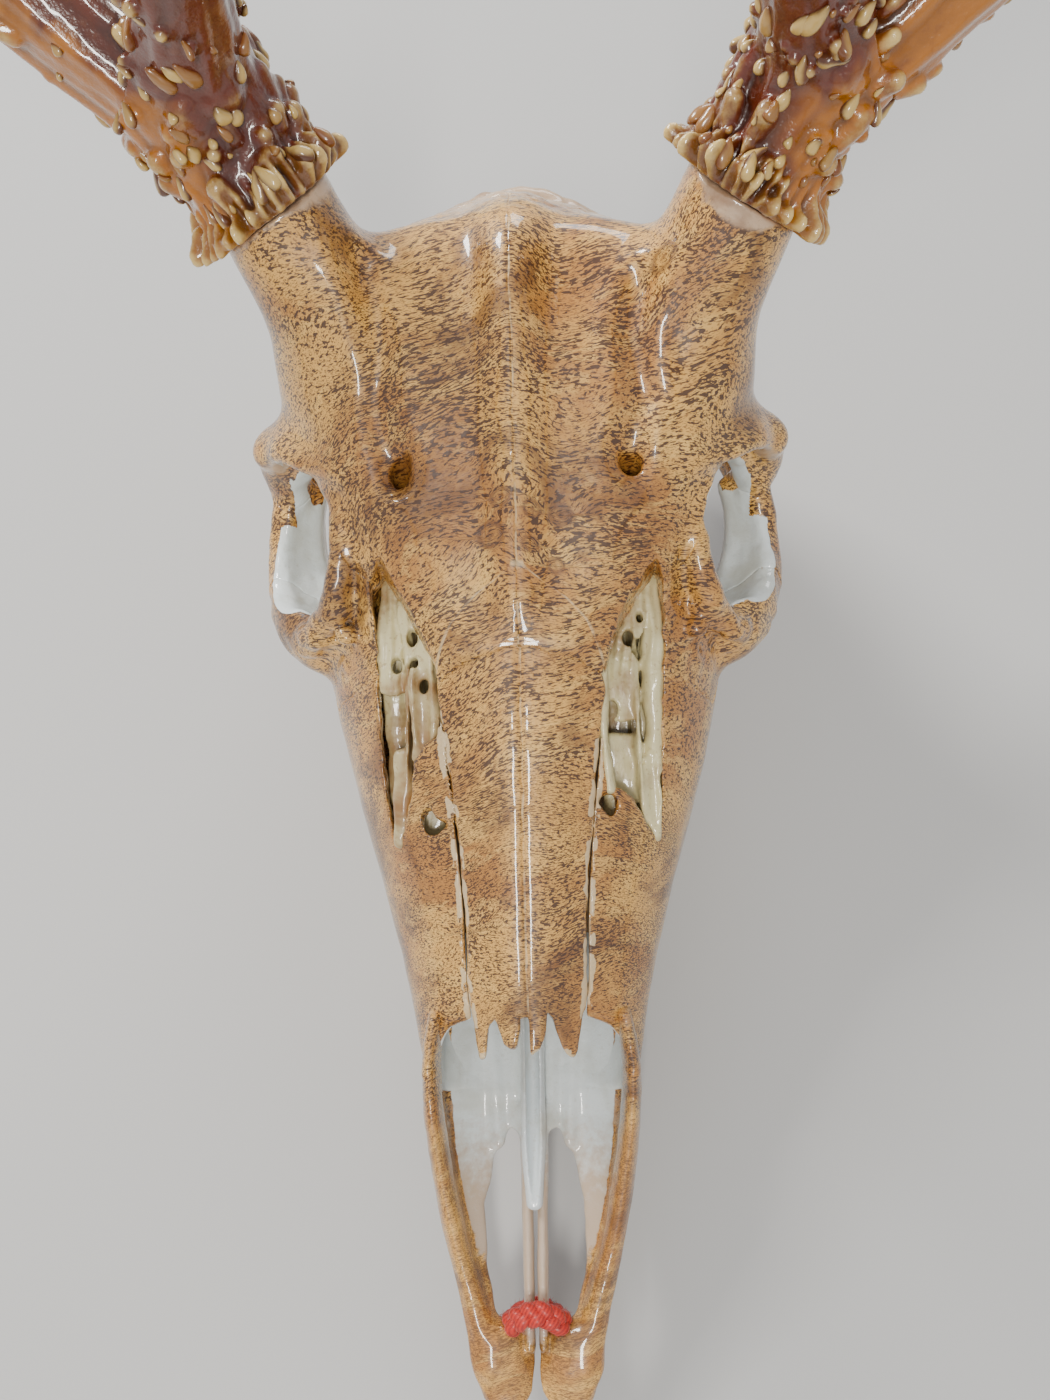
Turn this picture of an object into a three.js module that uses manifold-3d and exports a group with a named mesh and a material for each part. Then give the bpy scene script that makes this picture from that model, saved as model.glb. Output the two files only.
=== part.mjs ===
// Skull of a white-tailed buck with its antlers, dipped in a wood-grain film and clear coated.
// Millimetres, +Z up. The nose points to -Y, the animal's own left is +X, and the skull rests on its
// cheek teeth and on the two paroccipital processes at z = 0.
import * as THREE from "three";
import { mergeVertices } from "three/addons/utils/BufferGeometryUtils.js";
import Module from "manifold-3d";

const wasm = await Module();
wasm.setup();

// Driving sizes
const GAP = 0.3; // clearance between neighbouring bones
const ORBIT = { x: 52, y: 32, z: 79, radius: 20.5, rim: 3.4 }; // eye socket, its centre and rim
const TOOTH_ROW = { front: -64, back: 13, halfFront: 21.5, halfBack: 28.5, root: 22 }; // P2 to M3
const PEDICLE = { base: [40, 70, 115], top: [50, 82.5, 138], past: [54, 87, 147], radius: 13 };
const BURR = { radius: 16.5, knobs: 13, knob: 4.6, thick: 7 };
const NASAL = { tip: -86, back: 12.6, thick: 3.4 };
const SNOUT = { tip: -160, back: -92.3, level: 21.5, slope: 0.1, thick: 2.4 };
const CORD = { y: -140.5, z: 19.6, across: 6.1, upright: 4.9, radius: 2.2 };
const FORAMEN_MAGNUM = { radius: 9, z: 52, from: 104 };
const SUPRAORBITAL_HOLE = { x: 26, y: 33, radius: 2.4, from: 96 };

const FILM = { color: 0xb3854f, roughness: 0.28, metalness: 0 };
const PALE_BONE = { color: 0xd9d2bd, roughness: 0.35, metalness: 0 };
const ANTLER = { color: 0x8a4a1c, roughness: 0.25, metalness: 0 };
const RED_CORD = { color: 0xd6402f, roughness: 0.6, metalness: 0 };

// A solid from a closed three.js geometry, turned to face outwards
function solid(geometry) {
  const bare = geometry.clone();
  bare.deleteAttribute("normal");
  bare.deleteAttribute("uv");
  const merged = mergeVertices(bare, 1e-4);
  const triVerts = new Uint32Array(merged.index.array);
  const vertProperties = merged.attributes.position.array;
  const made = new wasm.Manifold(new wasm.Mesh({ numProp: 3, vertProperties, triVerts }));
  if (made.volume() > 0) return made;
  for (let i = 0; i < triVerts.length; i += 3) {
    [triVerts[i + 1], triVerts[i + 2]] = [triVerts[i + 2], triVerts[i + 1]];
  }
  return new wasm.Manifold(new wasm.Mesh({ numProp: 3, vertProperties, triVerts }));
}

// A closed skin over a row of rings that all have the same number of points
function skin(rings) {
  const sides = rings[0].length;
  const points = rings.flat();
  const faces = [];
  for (let i = 0; i + 1 < rings.length; i++) {
    for (let j = 0; j < sides; j++) {
      const a = i * sides + j;
      const b = i * sides + ((j + 1) % sides);
      faces.push(a, a + sides, b, b, a + sides, b + sides);
    }
  }
  const lastRing = (rings.length - 1) * sides;
  for (const start of [0, lastRing]) {
    const centre = new THREE.Vector3();
    for (let j = 0; j < sides; j++) centre.add(points[start + j]);
    points.push(centre.divideScalar(sides));
    for (let j = 0; j < sides; j++) {
      const a = start + j;
      const b = start + ((j + 1) % sides);
      if (start === 0) faces.push(points.length - 1, a, b);
      else faces.push(points.length - 1, b, a);
    }
  }
  return solid(new THREE.BufferGeometry().setFromPoints(points).setIndex(faces));
}

// Smooth values at any place in a table of [place, value, value, ...] rows
function along(table, place) {
  const last = table.length - 1;
  if (place <= table[0][0]) return table[0].slice(1);
  if (place >= table[last][0]) return table[last].slice(1);
  const i = table.findIndex((row) => row[0] > place) - 1;
  const t = (place - table[i][0]) / (table[i + 1][0] - table[i][0]);
  const t2 = t * t;
  const t3 = t2 * t;
  const rows = [-1, 0, 1, 2].map((k) => table[Math.min(last, Math.max(0, i + k))]);
  return rows[1].slice(1).map((_, k) => {
    const [a, b, c, d] = rows.map((row) => row[k + 1]);
    const leave = (t3 - 2 * t2 + t) * (c - a) * 0.5;
    const arrive = (t3 - t2) * (d - b) * 0.5;
    return (2 * t3 - 3 * t2 + 1) * b + leave + (3 * t2 - 2 * t3) * c + arrive;
  });
}

// A body along Y. Each row is [y, widest level, half width, top, bottom], and the cross-section is a
// superellipse with its own squareness above and below the widest level.
function loft(table, { sides = 16, steps = 10, above = 2, below = 2.4 } = {}) {
  const rings = [];
  const from = table[0][0];
  const span = table[table.length - 1][0] - from;
  for (let i = 0; i <= steps; i++) {
    const y = from + (span * i) / steps;
    const [level, half, top, bottom] = along(table, y);
    const ring = [];
    for (let j = 0; j < sides; j++) {
      const turn = (2 * Math.PI * (j + 0.5)) / sides;
      const c = Math.cos(turn);
      const s = Math.sin(turn);
      const power = 2 / (s > 0 ? above : below);
      const reach = s > 0 ? top - level : level - bottom;
      const x = half * Math.sign(c) * Math.abs(c) ** power;
      ring.push(new THREE.Vector3(x, y, level + reach * Math.sign(s) * Math.abs(s) ** power));
    }
    rings.push(ring);
  }
  return skin(rings);
}

const Y_AXIS = new THREE.Vector3(0, 1, 0);
const Z_AXIS = new THREE.Vector3(0, 0, 1);

// A tapering round or oval bar along a smooth curve. Each point is [x, y, z, across, upright], and
// across is measured square to the curve and to `up`.
function bar(points, { sides = 6, steps = 8, grow = 0, up = Z_AXIS } = {}) {
  const curve = new THREE.CatmullRomCurve3(points.map(([x, y, z]) => new THREE.Vector3(x, y, z)));
  const rings = [];
  for (let i = 0; i <= steps; i++) {
    const t = i / steps;
    const place = curve.getPoint(t);
    const ahead = curve.getTangent(t);
    const side = new THREE.Vector3().crossVectors(ahead, up).normalize();
    const lift = new THREE.Vector3().crossVectors(side, ahead).normalize();
    const k = Math.min(points.length - 2, Math.floor(t * (points.length - 1)));
    const u = t * (points.length - 1) - k;
    const across = points[k][3] * (1 - u) + points[k + 1][3] * u + grow;
    const upright = points[k][4] * (1 - u) + points[k + 1][4] * u + grow;
    const ring = [];
    for (let j = 0; j < sides; j++) {
      const turn = (2 * Math.PI * j) / sides;
      const point = place.clone().addScaledVector(side, across * Math.cos(turn));
      ring.push(point.addScaledVector(lift, upright * Math.sin(turn)));
    }
    rings.push(ring);
  }
  return skin(rings);
}

function ball([x, y, z], [rx, ry, rz], around = 10, down = 6) {
  const geometry = new THREE.SphereGeometry(1, around, down).rotateX(Math.PI / 2);
  return solid(geometry.scale(rx, ry, rz).translate(x, y, z));
}

function box([x0, y0, z0], [x1, y1, z1]) {
  const geometry = new THREE.BoxGeometry(x1 - x0, y1 - y0, z1 - z0);
  return solid(geometry.translate((x0 + x1) / 2, (y0 + y1) / 2, (z0 + z1) / 2));
}

// A plan outline in X and Y, carried up from one height to another
function prism(outline, low, high) {
  const shape = new THREE.Shape(outline.map(([x, y]) => new THREE.Vector2(x, y)));
  const geometry = new THREE.ExtrudeGeometry(shape, { depth: high - low, bevelEnabled: false });
  return solid(geometry.translate(0, 0, low));
}

// A side-view outline in Y and Z, carried across from one X to another
function sideways(outline, from, to) {
  const shape = new THREE.Shape(outline.map(([y, z]) => new THREE.Vector2(y, z)));
  const geometry = new THREE.ExtrudeGeometry(shape, { depth: to - from, bevelEnabled: false });
  const turn = new THREE.Matrix4().set(0, 0, 1, from, 1, 0, 0, 0, 0, 1, 0, 0, 0, 0, 0, 1);
  return solid(geometry.applyMatrix4(turn));
}

// An outline with every edge moved outwards by the same distance
function widen(outline, by) {
  const count = outline.length;
  let area = 0;
  outline.forEach(([a, b], i) => {
    const [c, d] = outline[(i + 1) % count];
    area += a * d - b * c;
  });
  const outwards = area > 0 ? 1 : -1;
  const normal = ([a, b], [c, d]) => {
    const long = Math.hypot(c - a, d - b);
    return [(outwards * (d - b)) / long, (-outwards * (c - a)) / long];
  };
  return outline.map((point, i) => {
    const before = normal(outline[(i + count - 1) % count], point);
    const after = normal(point, outline[(i + 1) % count]);
    const scale = by / (1 + before[0] * after[0] + before[1] * after[1]);
    return [point[0] + (before[0] + after[0]) * scale, point[1] + (before[1] + after[1]) * scale];
  });
}

const join = (...solids) => solids.reduce((whole, next) => whole.add(next));
const pair = (make) => join(make(1), make(-1));
const sided = (side, points) => points.map(([x, ...rest]) => [side * x, ...rest]);

// Two shares of a solid: what lies inside a region and what lies outside it, parted by the gap.
// The region is a side-view outline between two distances from the midline, and may have a plan too.
function carve(whole, side, outline, near, far, plan) {
  const region = (by) => {
    const from = side > 0 ? near - by : -far - by;
    const to = side > 0 ? far + by : by - near;
    const made = sideways(by ? widen(outline, by) : outline, from, to);
    return plan ? made.intersect(prism(by ? widen(plan, by) : plan, -20, 200)) : made;
  };
  return [whole.intersect(region(0)), whole.subtract(region(GAP))];
}

const part = new THREE.Group();

function addMesh(name, positions, triangles, look) {
  const geometry = new THREE.BufferGeometry();
  geometry.setAttribute("position", new THREE.BufferAttribute(positions, 3));
  geometry.setIndex(new THREE.BufferAttribute(triangles, 1));
  const mesh = new THREE.Mesh(geometry, new THREE.MeshStandardMaterial(look));
  mesh.name = name;
  part.add(mesh);
}

// A cut leaves crumbs: vertices that nearly touch and triangles as thin as a hair. This joins the
// first and turns the long edge of the second, and moves no surface by more than SHORT.
const SHORT = 0.12;
const THIN = 0.04;

function tidyFaces(positions, triangles) {
  const points = [];
  for (let i = 0; i < positions.length; i += 3) points.push(new THREE.Vector3().fromArray(positions, i));
  let faces = [];
  for (let i = 0; i < triangles.length; i += 3) faces.push([...triangles.slice(i, i + 3)]);
  const height = ([a, b, c]) => {
    const [p, q, r] = [points[a], points[b], points[c]];
    const area = q.clone().sub(p).cross(r.clone().sub(p)).length();
    return area / Math.max(p.distanceTo(q), q.distanceTo(r), r.distanceTo(p), 1e-9);
  };
  const key = (a, b) => a * points.length + b;
  for (let pass = 0; pass < 12; pass++) {
    // join the ends of each short edge, one edge at a time around any vertex
    const moved = new Map();
    const held = new Set();
    for (const face of faces) {
      for (let k = 0; k < 3; k++) {
        const [a, b] = [face[k], face[(k + 1) % 3]];
        if (held.has(a) || held.has(b) || points[a].distanceTo(points[b]) > SHORT) continue;
        moved.set(b, a);
        held.add(a).add(b);
      }
    }
    faces = faces.map((face) => face.map((v) => moved.get(v) ?? v)).filter(([a, b, c]) => a !== b && b !== c && c !== a);
    const across = new Map();
    faces.forEach(([a, b, c], i) => across.set(key(a, b), i).set(key(b, c), i).set(key(c, a), i));
    const turned = new Set();
    faces.forEach((face, i) => {
      if (turned.has(i) || height(face) > THIN) return;
      const far = (k) => points[face[k]].distanceTo(points[face[(k + 1) % 3]]);
      const k = [0, 1, 2].reduce((best, next) => (far(next) > far(best) ? next : best));
      const [a, b, c] = [face[k], face[(k + 1) % 3], face[(k + 2) % 3]];
      const j = across.get(key(b, a));
      if (j === undefined || turned.has(j)) return;
      const d = faces[j].find((v) => v !== a && v !== b);
      if (across.has(key(c, d)) || across.has(key(d, c))) return;
      const made = [[a, d, c], [d, b, c]];
      if (Math.min(...made.map(height)) <= Math.min(height(face), height(faces[j]))) return;
      [faces[i], faces[j]] = made;
      turned.add(i).add(j);
      across.set(key(c, d), i).set(key(d, c), j);
    });
    if (!moved.size && !turned.size) break;
  }
  return solid(new THREE.BufferGeometry().setFromPoints(points).setIndex(faces.flat())).getMesh();
}

// Adds the largest closed surface of a solid to the part under its own name
function add(name, whole, look) {
  const bodies = whole.decompose();
  const largest = bodies.reduce((best, next) => (next.volume() > best.volume() ? next : best)).getMesh();
  const kept = tidyFaces(largest.vertProperties, largest.triVerts);
  addMesh(name, new Float32Array(kept.vertProperties), new Uint32Array(kept.triVerts), look);
  return kept;
}

// Adds a solid of the animal's left side and its mirror image on the right
function addPair(name, whole, look) {
  const kept = add(`${name}_left`, whole, look);
  const positions = new Float32Array(kept.vertProperties).map((value, i) => (i % 3 === 0 ? -value : value));
  addMesh(`${name}_right`, positions, new Uint32Array(kept.triVerts).reverse(), look);
}

// Both upper jaws as one tapering block: [y, widest level, half width, top, bottom]
const FACE = [
  [-92, 33, 25.6, 52, 21],
  [-80, 36, 27.3, 58, 20],
  [-60, 40, 31.4, 68, 14],
  [-48, 42, 34.8, 73.5, 12],
  [-35, 45, 38.6, 79.5, 11.5],
  [-23, 48, 42.3, 85, 11.5],
  [-11, 52, 45.4, 90, 12],
  [0, 55, 48, 95, 14],
  [12, 58, 49.5, 99, 19],
  [22, 60, 44, 103, 26],
  [30, 62, 33, 106, 36],
];
const NOSE_CAVITY = [
  [-100, 36, 21.4, 60, 24.5],
  [-80, 38, 22.6, 56, 24.5],
  [-60, 41, 27, 65, 24],
  [-35, 45, 34, 76.5, 24],
  [-11, 52, 41, 87, 27],
  [4, 57, 42, 92, 36],
  [11, 62, 34, 91.5, 46],
];
const PALATE_VAULT = [
  [-90, 8, 14, 19, -3],
  [-60, 8, 15.5, 21, -3],
  [-10, 8, 18.5, 21.5, -3],
  [20, 8, 19, 21, -3],
];
const CHOANA = [
  [4, 38, 9, 50, 24],
  [18, 38, 11, 50, 16],
  [40, 38, 11, 48, 12],
  [62, 38, 9, 45, 20],
];
// The side walls stop short of the nasal bones and slope down to the snout
const NOSE_OPENING = [[-130, 33], [-92, 33], [-86, 41], [-79, 50], [-73, 66], [-73, 120], [-130, 120]];

// Nasal bones: [y, half width, top on the midline, drop at the edge]
const NASALS = [
  [NASAL.tip, 12.2, 59.5, 6.5],
  [-70, 13.8, 67, 6.5],
  [-54, 14.3, 74.3, 6.2],
  [-35, 16, 82, 6],
  [-20, 17.8, 88.6, 6],
  [-8, 19.2, 93.8, 6],
  [2, 15.4, 98, 3.6],
  [8, 9, 100.2, 1.4],
  [NASAL.back, 1.2, 101.8, 0.2],
];

function nasalPair(grow = 0, thick = NASAL.thick, back = NASAL.back) {
  const steps = 10;
  const across = 6;
  const rings = [];
  for (let i = 0; i <= steps; i++) {
    const y = NASAL.tip + ((back - NASAL.tip) * i) / steps;
    const [half, top, drop] = along(NASALS, y);
    const ring = [];
    for (const under of [false, true]) {
      for (let j = 0; j <= across; j++) {
        const x = (under ? -1 : 1) * (1 - (2 * j) / across);
        const z = top - drop * x * x + (under ? -thick - Math.abs(grow) : grow);
        ring.push(new THREE.Vector3(x * (half + grow), i === steps ? y + Math.abs(grow) : y, z));
      }
    }
    rings.push(ring);
  }
  return skin(rings);
}

// The notched front edge leaves a long outer and a short inner prong on each side
const PRONG_NOTCHES = [
  [[3.6, -90], [6.6, -90], [5.2, -77]],
  [[-1.1, -90], [1.1, -90], [0, -79.5]],
  [[11.2, -90], [16, -90], [16, -74], [13.4, -76]],
  [[1, -90], [4.2, -90], [3.2, -83.6], [1, -83.6]],
];

const PRONG_ROOM = join(...PRONG_NOTCHES.map((notch) => prism(notch, 30, 100)));

// Roof of the skull between and behind the eye sockets
const FRONTAL = [
  [-4, 78, 22, 96.5, 70],
  [8, 80, 33, 100.3, 70],
  [20, 86, 38.5, 106, 74],
  [30, 92, 41, 111, 80],
  [40, 95, 44.5, 116, 82],
  [50, 94, 51, 121, 80],
  [58, 93, 55.5, 125, 76],
  [66, 98, 55.5, 128, 76],
  [76, 104, 52.5, 130.8, 80],
  [86, 104, 44, 129.6, 84],
  [96, 98, 34, 123, 84],
];
const BRAINCASE = [
  [34, 78, 20, 108, 48],
  [48, 80, 29, 116, 42],
  [62, 80, 36, 124, 38],
  [78, 79, 39.5, 127.5, 36],
  [92, 77, 40.5, 125.5, 35],
  [104, 74, 39, 118, 36],
  [114, 71, 36, 108.5, 38],
  [122, 68, 31, 98, 41],
  [128, 64, 23, 85, 46],
];
const SKULL_BASE = [
  [58, 40, 7, 50, 33],
  [80, 37, 9, 50, 30],
  [104, 37, 13, 50, 30.5],
  [124, 40, 13, 52, 33],
];
const MID_RIDGE = [
  [0, 8, 96, 5, 5.5],
  [0, 40, 113.5, 6, 5],
  [0, 66, 126.5, 6.5, 5],
  [0, 82, 129.5, 7, 4.6],
  [0, 96, 121, 7, 4],
];

// The raised rim of the eye socket faces out, up and a little forwards
const ORBIT_FACING = new THREE.Vector3(0.83, -0.16, 0.53).normalize();

function orbitRim(side) {
  const ring = new THREE.TorusGeometry(ORBIT.radius, ORBIT.rim, 6, 18).scale(1, 1.06, 1);
  const facing = ORBIT_FACING.clone().multiply(new THREE.Vector3(side, 1, 1));
  ring.applyQuaternion(new THREE.Quaternion().setFromUnitVectors(Z_AXIS, facing));
  return solid(ring.translate(side * ORBIT.x, ORBIT.y, ORBIT.z));
}

function orbitHollow(side) {
  const { x, y, z } = ORBIT;
  const socket = ball([side * (x - 8), y + 3, z - 1], [19, 19.5, 20], 14, 8);
  const mouth = ball([side * (x + 9), y, z + 6], [15, 18.5, 17], 14, 8);
  const floor = ball([side * (x - 8), y + 15, z - 20], [9, 18, 18], 10, 6);
  return join(socket, mouth, floor);
}

// Cheek: the bowl under the eye, the two bars that meet behind it and the arch that runs back to the ear
const CHEEK_BOWL = { centre: [49, 30, 64], radii: [15.5, 24, 14.5] };
const ARCH = [
  [58, 44, 66, 3, 7.5],
  [58.5, 56, 63, 2.8, 6.5],
  [55.5, 67, 61, 2.6, 5.5],
  [50, 78, 61.5, 2.8, 5.2],
  [40, 88, 63, 4, 5.5],
];
const BACK_BAR = [
  [54.5, 55, 64, 7.5, 3.2],
  [58, 57, 77, 5.4, 3.2],
  [58, 57, 91, 4.4, 4],
];
const POSTORBITAL = [
  [36, 43, 106, 8, 4],
  [46, 47, 101.5, 8, 3.4],
  [53, 52, 97, 7, 3.2],
  [59, 56, 90, 4.6, 3.4],
];

function cheek(side) {
  const [x, y, z] = CHEEK_BOWL.centre;
  const bowl = ball([side * x, y, z], CHEEK_BOWL.radii, 16, 10);
  const glenoid = ball([side * 43, 86, 58.5], [10, 9, 5]);
  const behindEye = join(bar(sided(side, BACK_BAR), { steps: 3, up: Y_AXIS }), bar(sided(side, POSTORBITAL), { steps: 3 }));
  return join(bowl, bar(sided(side, ARCH)), behindEye, glenoid);
}

// Bony ears, mastoid swellings, condyles and the long processes that the skull rests on behind
function earAndBase(side) {
  const bulla = ball([side * 24, 95, 34], [8.5, 12, 9]);
  const meatus = bar(sided(side, [[27, 93, 40, 5, 5], [41.5, 96, 52, 4.4, 4.4]]), { steps: 2 });
  const mastoid = ball([side * 34, 104, 58], [7, 11, 17]);
  const condyle = ball([side * 13, 125, 47], [8.5, 10, 13]);
  const process = [
    [32, 112, 56, 9, 6],
    [31, 111, 36, 8, 4.6],
    [29, 108, 14, 5.5, 3.6],
    [28, 107, -4, 4, 3],
  ];
  return join(bulla, meatus, mastoid, condyle, bar(sided(side, process), { steps: 5, up: Y_AXIS }));
}

// Palatine and pterygoid wings on each side of the rear opening of the nose
const WING = [
  [17, 8, 32, 3, 14],
  [15, 26, 35, 2.6, 14],
  [14, 44, 37, 2.4, 12],
  [14, 58, 38, 2.2, 9],
];
const NUCHAL_CREST = [
  [36, 106, 60, 3, 4],
  [32, 115, 78, 3, 4],
  [20, 121, 91, 3, 4],
  [0, 124.5, 97, 3.4, 4],
  [-20, 121, 91, 3, 4],
  [-32, 115, 78, 3, 4],
  [-36, 106, 60, 3, 4],
];

function pedicle(side) {
  const { base, top, past, radius } = PEDICLE;
  const points = [
    [base[0] - 6, base[1] - 8, base[2] - 16, radius * 1.25, radius * 1.3],
    [...base, radius * 1.12, radius * 1.1],
    [...top, radius, radius],
    [...past, radius, radius],
  ];
  return bar(sided(side, points), { sides: 14, steps: 5 });
}

// Cheek teeth: three premolars and three molars in a row, the molars with two lobes each
const TEETH = [
  { long: 9.5, wide: 8.5, foot: 3, lobes: 1 },
  { long: 11, wide: 10.5, foot: 1.6, lobes: 1 },
  { long: 10.5, wide: 12.5, foot: 0, lobes: 1 },
  { long: 14, wide: 14, foot: 0, lobes: 2 },
  { long: 15.5, wide: 15, foot: 0, lobes: 2 },
  { long: 15.5, wide: 14.5, foot: 0, lobes: 2 },
];

function toothRow(side) {
  const { front, back, halfFront, halfBack, root } = TOOTH_ROW;
  const total = TEETH.reduce((sum, tooth) => sum + tooth.long, 0);
  const lobes = [];
  let share = 0;
  for (const tooth of TEETH) {
    for (let k = 0; k < tooth.lobes; k++) {
      const wide = tooth.long / tooth.lobes / total;
      const middle = share + wide / 2;
      const length = wide * (back - front);
      const lobe = new THREE.CylinderGeometry(0.6, 0.5, 1, 6).rotateX(Math.PI / 2);
      lobe.scale(tooth.wide, length * 1.12, root - tooth.foot);
      const x = side * (halfFront + (halfBack - halfFront) * middle);
      lobe.translate(x, front + (back - front) * middle, (root + tooth.foot) / 2);
      lobes.push(solid(lobe));
      share += wide;
    }
  }
  return join(...lobes);
}

// The two long openings beside the nasal bones, as plan outlines
const VACUITY = [
  [31, 17], [34, 6], [32.6, -12], [31.5, -28], [29, -38], [25.5, -33],
  [20, -36], [18.6, -24], [19.6, -6], [23, 4], [28, 12],
];

// Snout: a flat plan with the two long palatine openings, a raised bar and a rod on each side
const SNOUT_PLAN = [
  [0.5, -148], [1.6, -157], [4.5, SNOUT.tip], [9.5, SNOUT.tip + 1], [13.2, -154], [14.8, -147],
  [16.2, -139], [19, -127], [21.3, -116], [23.4, -104], [24.4, SNOUT.back], [0.5, SNOUT.back],
];
const PALATE_OPENING = [
  [0.2, -145.6], [9.2, -144], [11.9, -130], [12, -117], [9.6, -106], [6.4, -99], [0.2, -98],
];
const SNOUT_BAR = [
  [11, -150, 18, 4.2, 4],
  [14.6, -138, 20.5, 3, 4.6],
  [18.2, -126, 24, 2.6, 5.2],
  [21.2, -112, 29, 2.5, 6.4],
  [23.2, -98, 35, 2.5, 7.6],
  [23.6, -86, 41.5, 2.2, 7],
  [21.8, -76, 50, 1.8, 4],
];
const SNOUT_PAD = [
  [7.8, -157.5, 16.4, 5.2, 2.8],
  [8.2, -152, 17.6, 6.4, 4.2],
  [8.4, -146, 19, 5, 3.8],
];
const PALATINE_ROD = [
  [1.7, -148, 18.6, 1.3, 2.2],
  [1.7, -128, 21, 1.3, 2.3],
  [2.2, -95, 23.6, 1.5, 2.2],
];

function premaxilla(side, grow = 0) {
  const { level, slope, thick, back } = SNOUT;
  const tilt = new THREE.Matrix4().set(1, 0, 0, 0, 0, 1, 0, 0, 0, slope, 1, -slope * back, 0, 0, 0, 1);
  const plate = (outline, low, high) => {
    const shape = new THREE.Shape(sided(side, outline).map(([x, y]) => new THREE.Vector2(x, y)));
    const geometry = new THREE.ExtrudeGeometry(shape, { depth: high - low, bevelEnabled: false });
    return solid(geometry.translate(0, 0, low).applyMatrix4(tilt));
  };
  const floor = plate(SNOUT_PLAN, level - grow, level + thick + grow);
  const opening = plate(PALATE_OPENING, level - 5, level + thick + 5);
  const raised = bar(sided(side, SNOUT_BAR), { sides: 8, steps: 10, grow });
  const pad = bar(sided(side, SNOUT_PAD), { sides: 8, steps: 3, grow });
  const rod = bar(sided(side, PALATINE_ROD), { steps: 3, grow });
  return join(floor.subtract(opening), raised, pad, rod);
}

// Thin scrolls of bone that show through the openings beside the nose
function turbinates() {
  const scroll = (x, wide) => [
    [x, -50, 52, wide * 0.5, 6],
    [x, -22, 58, wide, 14],
    [x - 1, 8, 66, wide * 0.8, 14],
  ];
  const shelf = [
    [14, -48, 44, 9, 2.5],
    [16, -20, 47, 12, 3],
    [17, 6, 54, 11, 4],
  ];
  const bars = [scroll(26, 2.2), scroll(18, 2.2), shelf];
  return join(...bars.map((points) => bar(points, { steps: 4 })));
}

const VOMER = [
  [0, -117, 26.5, 2, 1.6],
  [0, -104, 28, 3, 3.2],
  [0, -80, 30, 3, 6.5],
  [0, -40, 34, 2.6, 10],
  [0, -6, 43, 2.6, 15],
];

// Main beam of the left antler from the burr to its tip: [x, y, z, radius]
const BEAM = [
  [50, 82.5, 138, 13.5],
  [61, 91.5, 155, 14],
  [77, 100, 168, 14.5],
  [104, 111, 190, 15],
  [140, 120, 226, 14.5],
  [174, 110, 268, 14.5],
  [198, 74, 303, 13],
  [208, 18, 329, 12],
  [199, -40, 346, 10],
  [176, -88, 359, 7.5],
  [150, -118, 371, 2.2],
];
const TINES = [
  { name: "brow_tine", at: 0.115, bend: [51, 82, 210], tip: [48, 66, 258], radius: 10.5 },
  { name: "second_tine", at: 0.43, bend: [160, 126, 320], tip: [150, 108, 388], radius: 11 },
  { name: "third_tine", at: 0.66, bend: [211, 46, 360], tip: [192, 22, 402], radius: 10 },
];
const BEAM_REFERENCE = new THREE.Vector3(0.55, -0.1, -0.8); // square enough to the beam along its whole length
const LENGTHS = ["antler_base", "antler_middle", "antler_fork", "antler_end"];
const FORK_REACH = 0.035; // how far past a fork the lower length goes on, as a share of the beam
const HALF_CUT = 0.0003; // half of the cut between two lengths, as a share of the beam

function beamCurve(side) {
  const points = BEAM.map(([x, y, z]) => new THREE.Vector3(side * x, y, z));
  return new THREE.CatmullRomCurve3(points, false, "centripetal");
}

function beamLength(from, to, steps, grow = 0) {
  const sides = 10;
  const curve = beamCurve(1);
  const radii = BEAM.map((row, i) => [i / (BEAM.length - 1), row[3]]);
  const rings = [];
  for (let i = 0; i <= steps; i++) {
    const t = from + ((to - from) * i) / steps;
    const place = curve.getPoint(t);
    const ahead = curve.getTangent(t);
    const out = new THREE.Vector3().crossVectors(ahead, BEAM_REFERENCE).normalize();
    const lift = new THREE.Vector3().crossVectors(out, ahead).normalize();
    const radius = along(radii, t)[0] + grow;
    const ring = [];
    for (let j = 0; j < sides; j++) {
      const turn = (2 * Math.PI * j) / sides;
      const point = place.clone().addScaledVector(out, radius * Math.cos(turn));
      ring.push(point.addScaledVector(lift, radius * Math.sin(turn)));
    }
    rings.push(ring);
  }
  return skin(rings);
}

function tine({ at, bend, tip, radius }) {
  const root = beamCurve(1).getPoint(at);
  const start = [root.x, root.y, root.z];
  const between = start.map((value, i) => (value + bend[i]) / 2);
  const points = [
    [...start, radius * 1.2, radius * 1.2],
    [...between, radius * 0.88, radius * 0.88],
    [...bend, radius * 0.7, radius * 0.7],
    [...tip, radius * 0.12, radius * 0.12],
  ];
  return bar(points, { steps: 7, sides: 8, up: Y_AXIS });
}

// A thick disc with its lower or upper face square to the foot of the beam
function footDisc(side, low, thick) {
  const curve = beamCurve(side);
  const ahead = curve.getTangent(0);
  const disc = new THREE.CylinderGeometry(34, 34, thick, 20);
  disc.applyQuaternion(new THREE.Quaternion().setFromUnitVectors(Y_AXIS, ahead));
  const place = curve.getPoint(0).addScaledVector(ahead, low + thick / 2);
  return solid(disc.translate(place.x, place.y, place.z));
}

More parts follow.
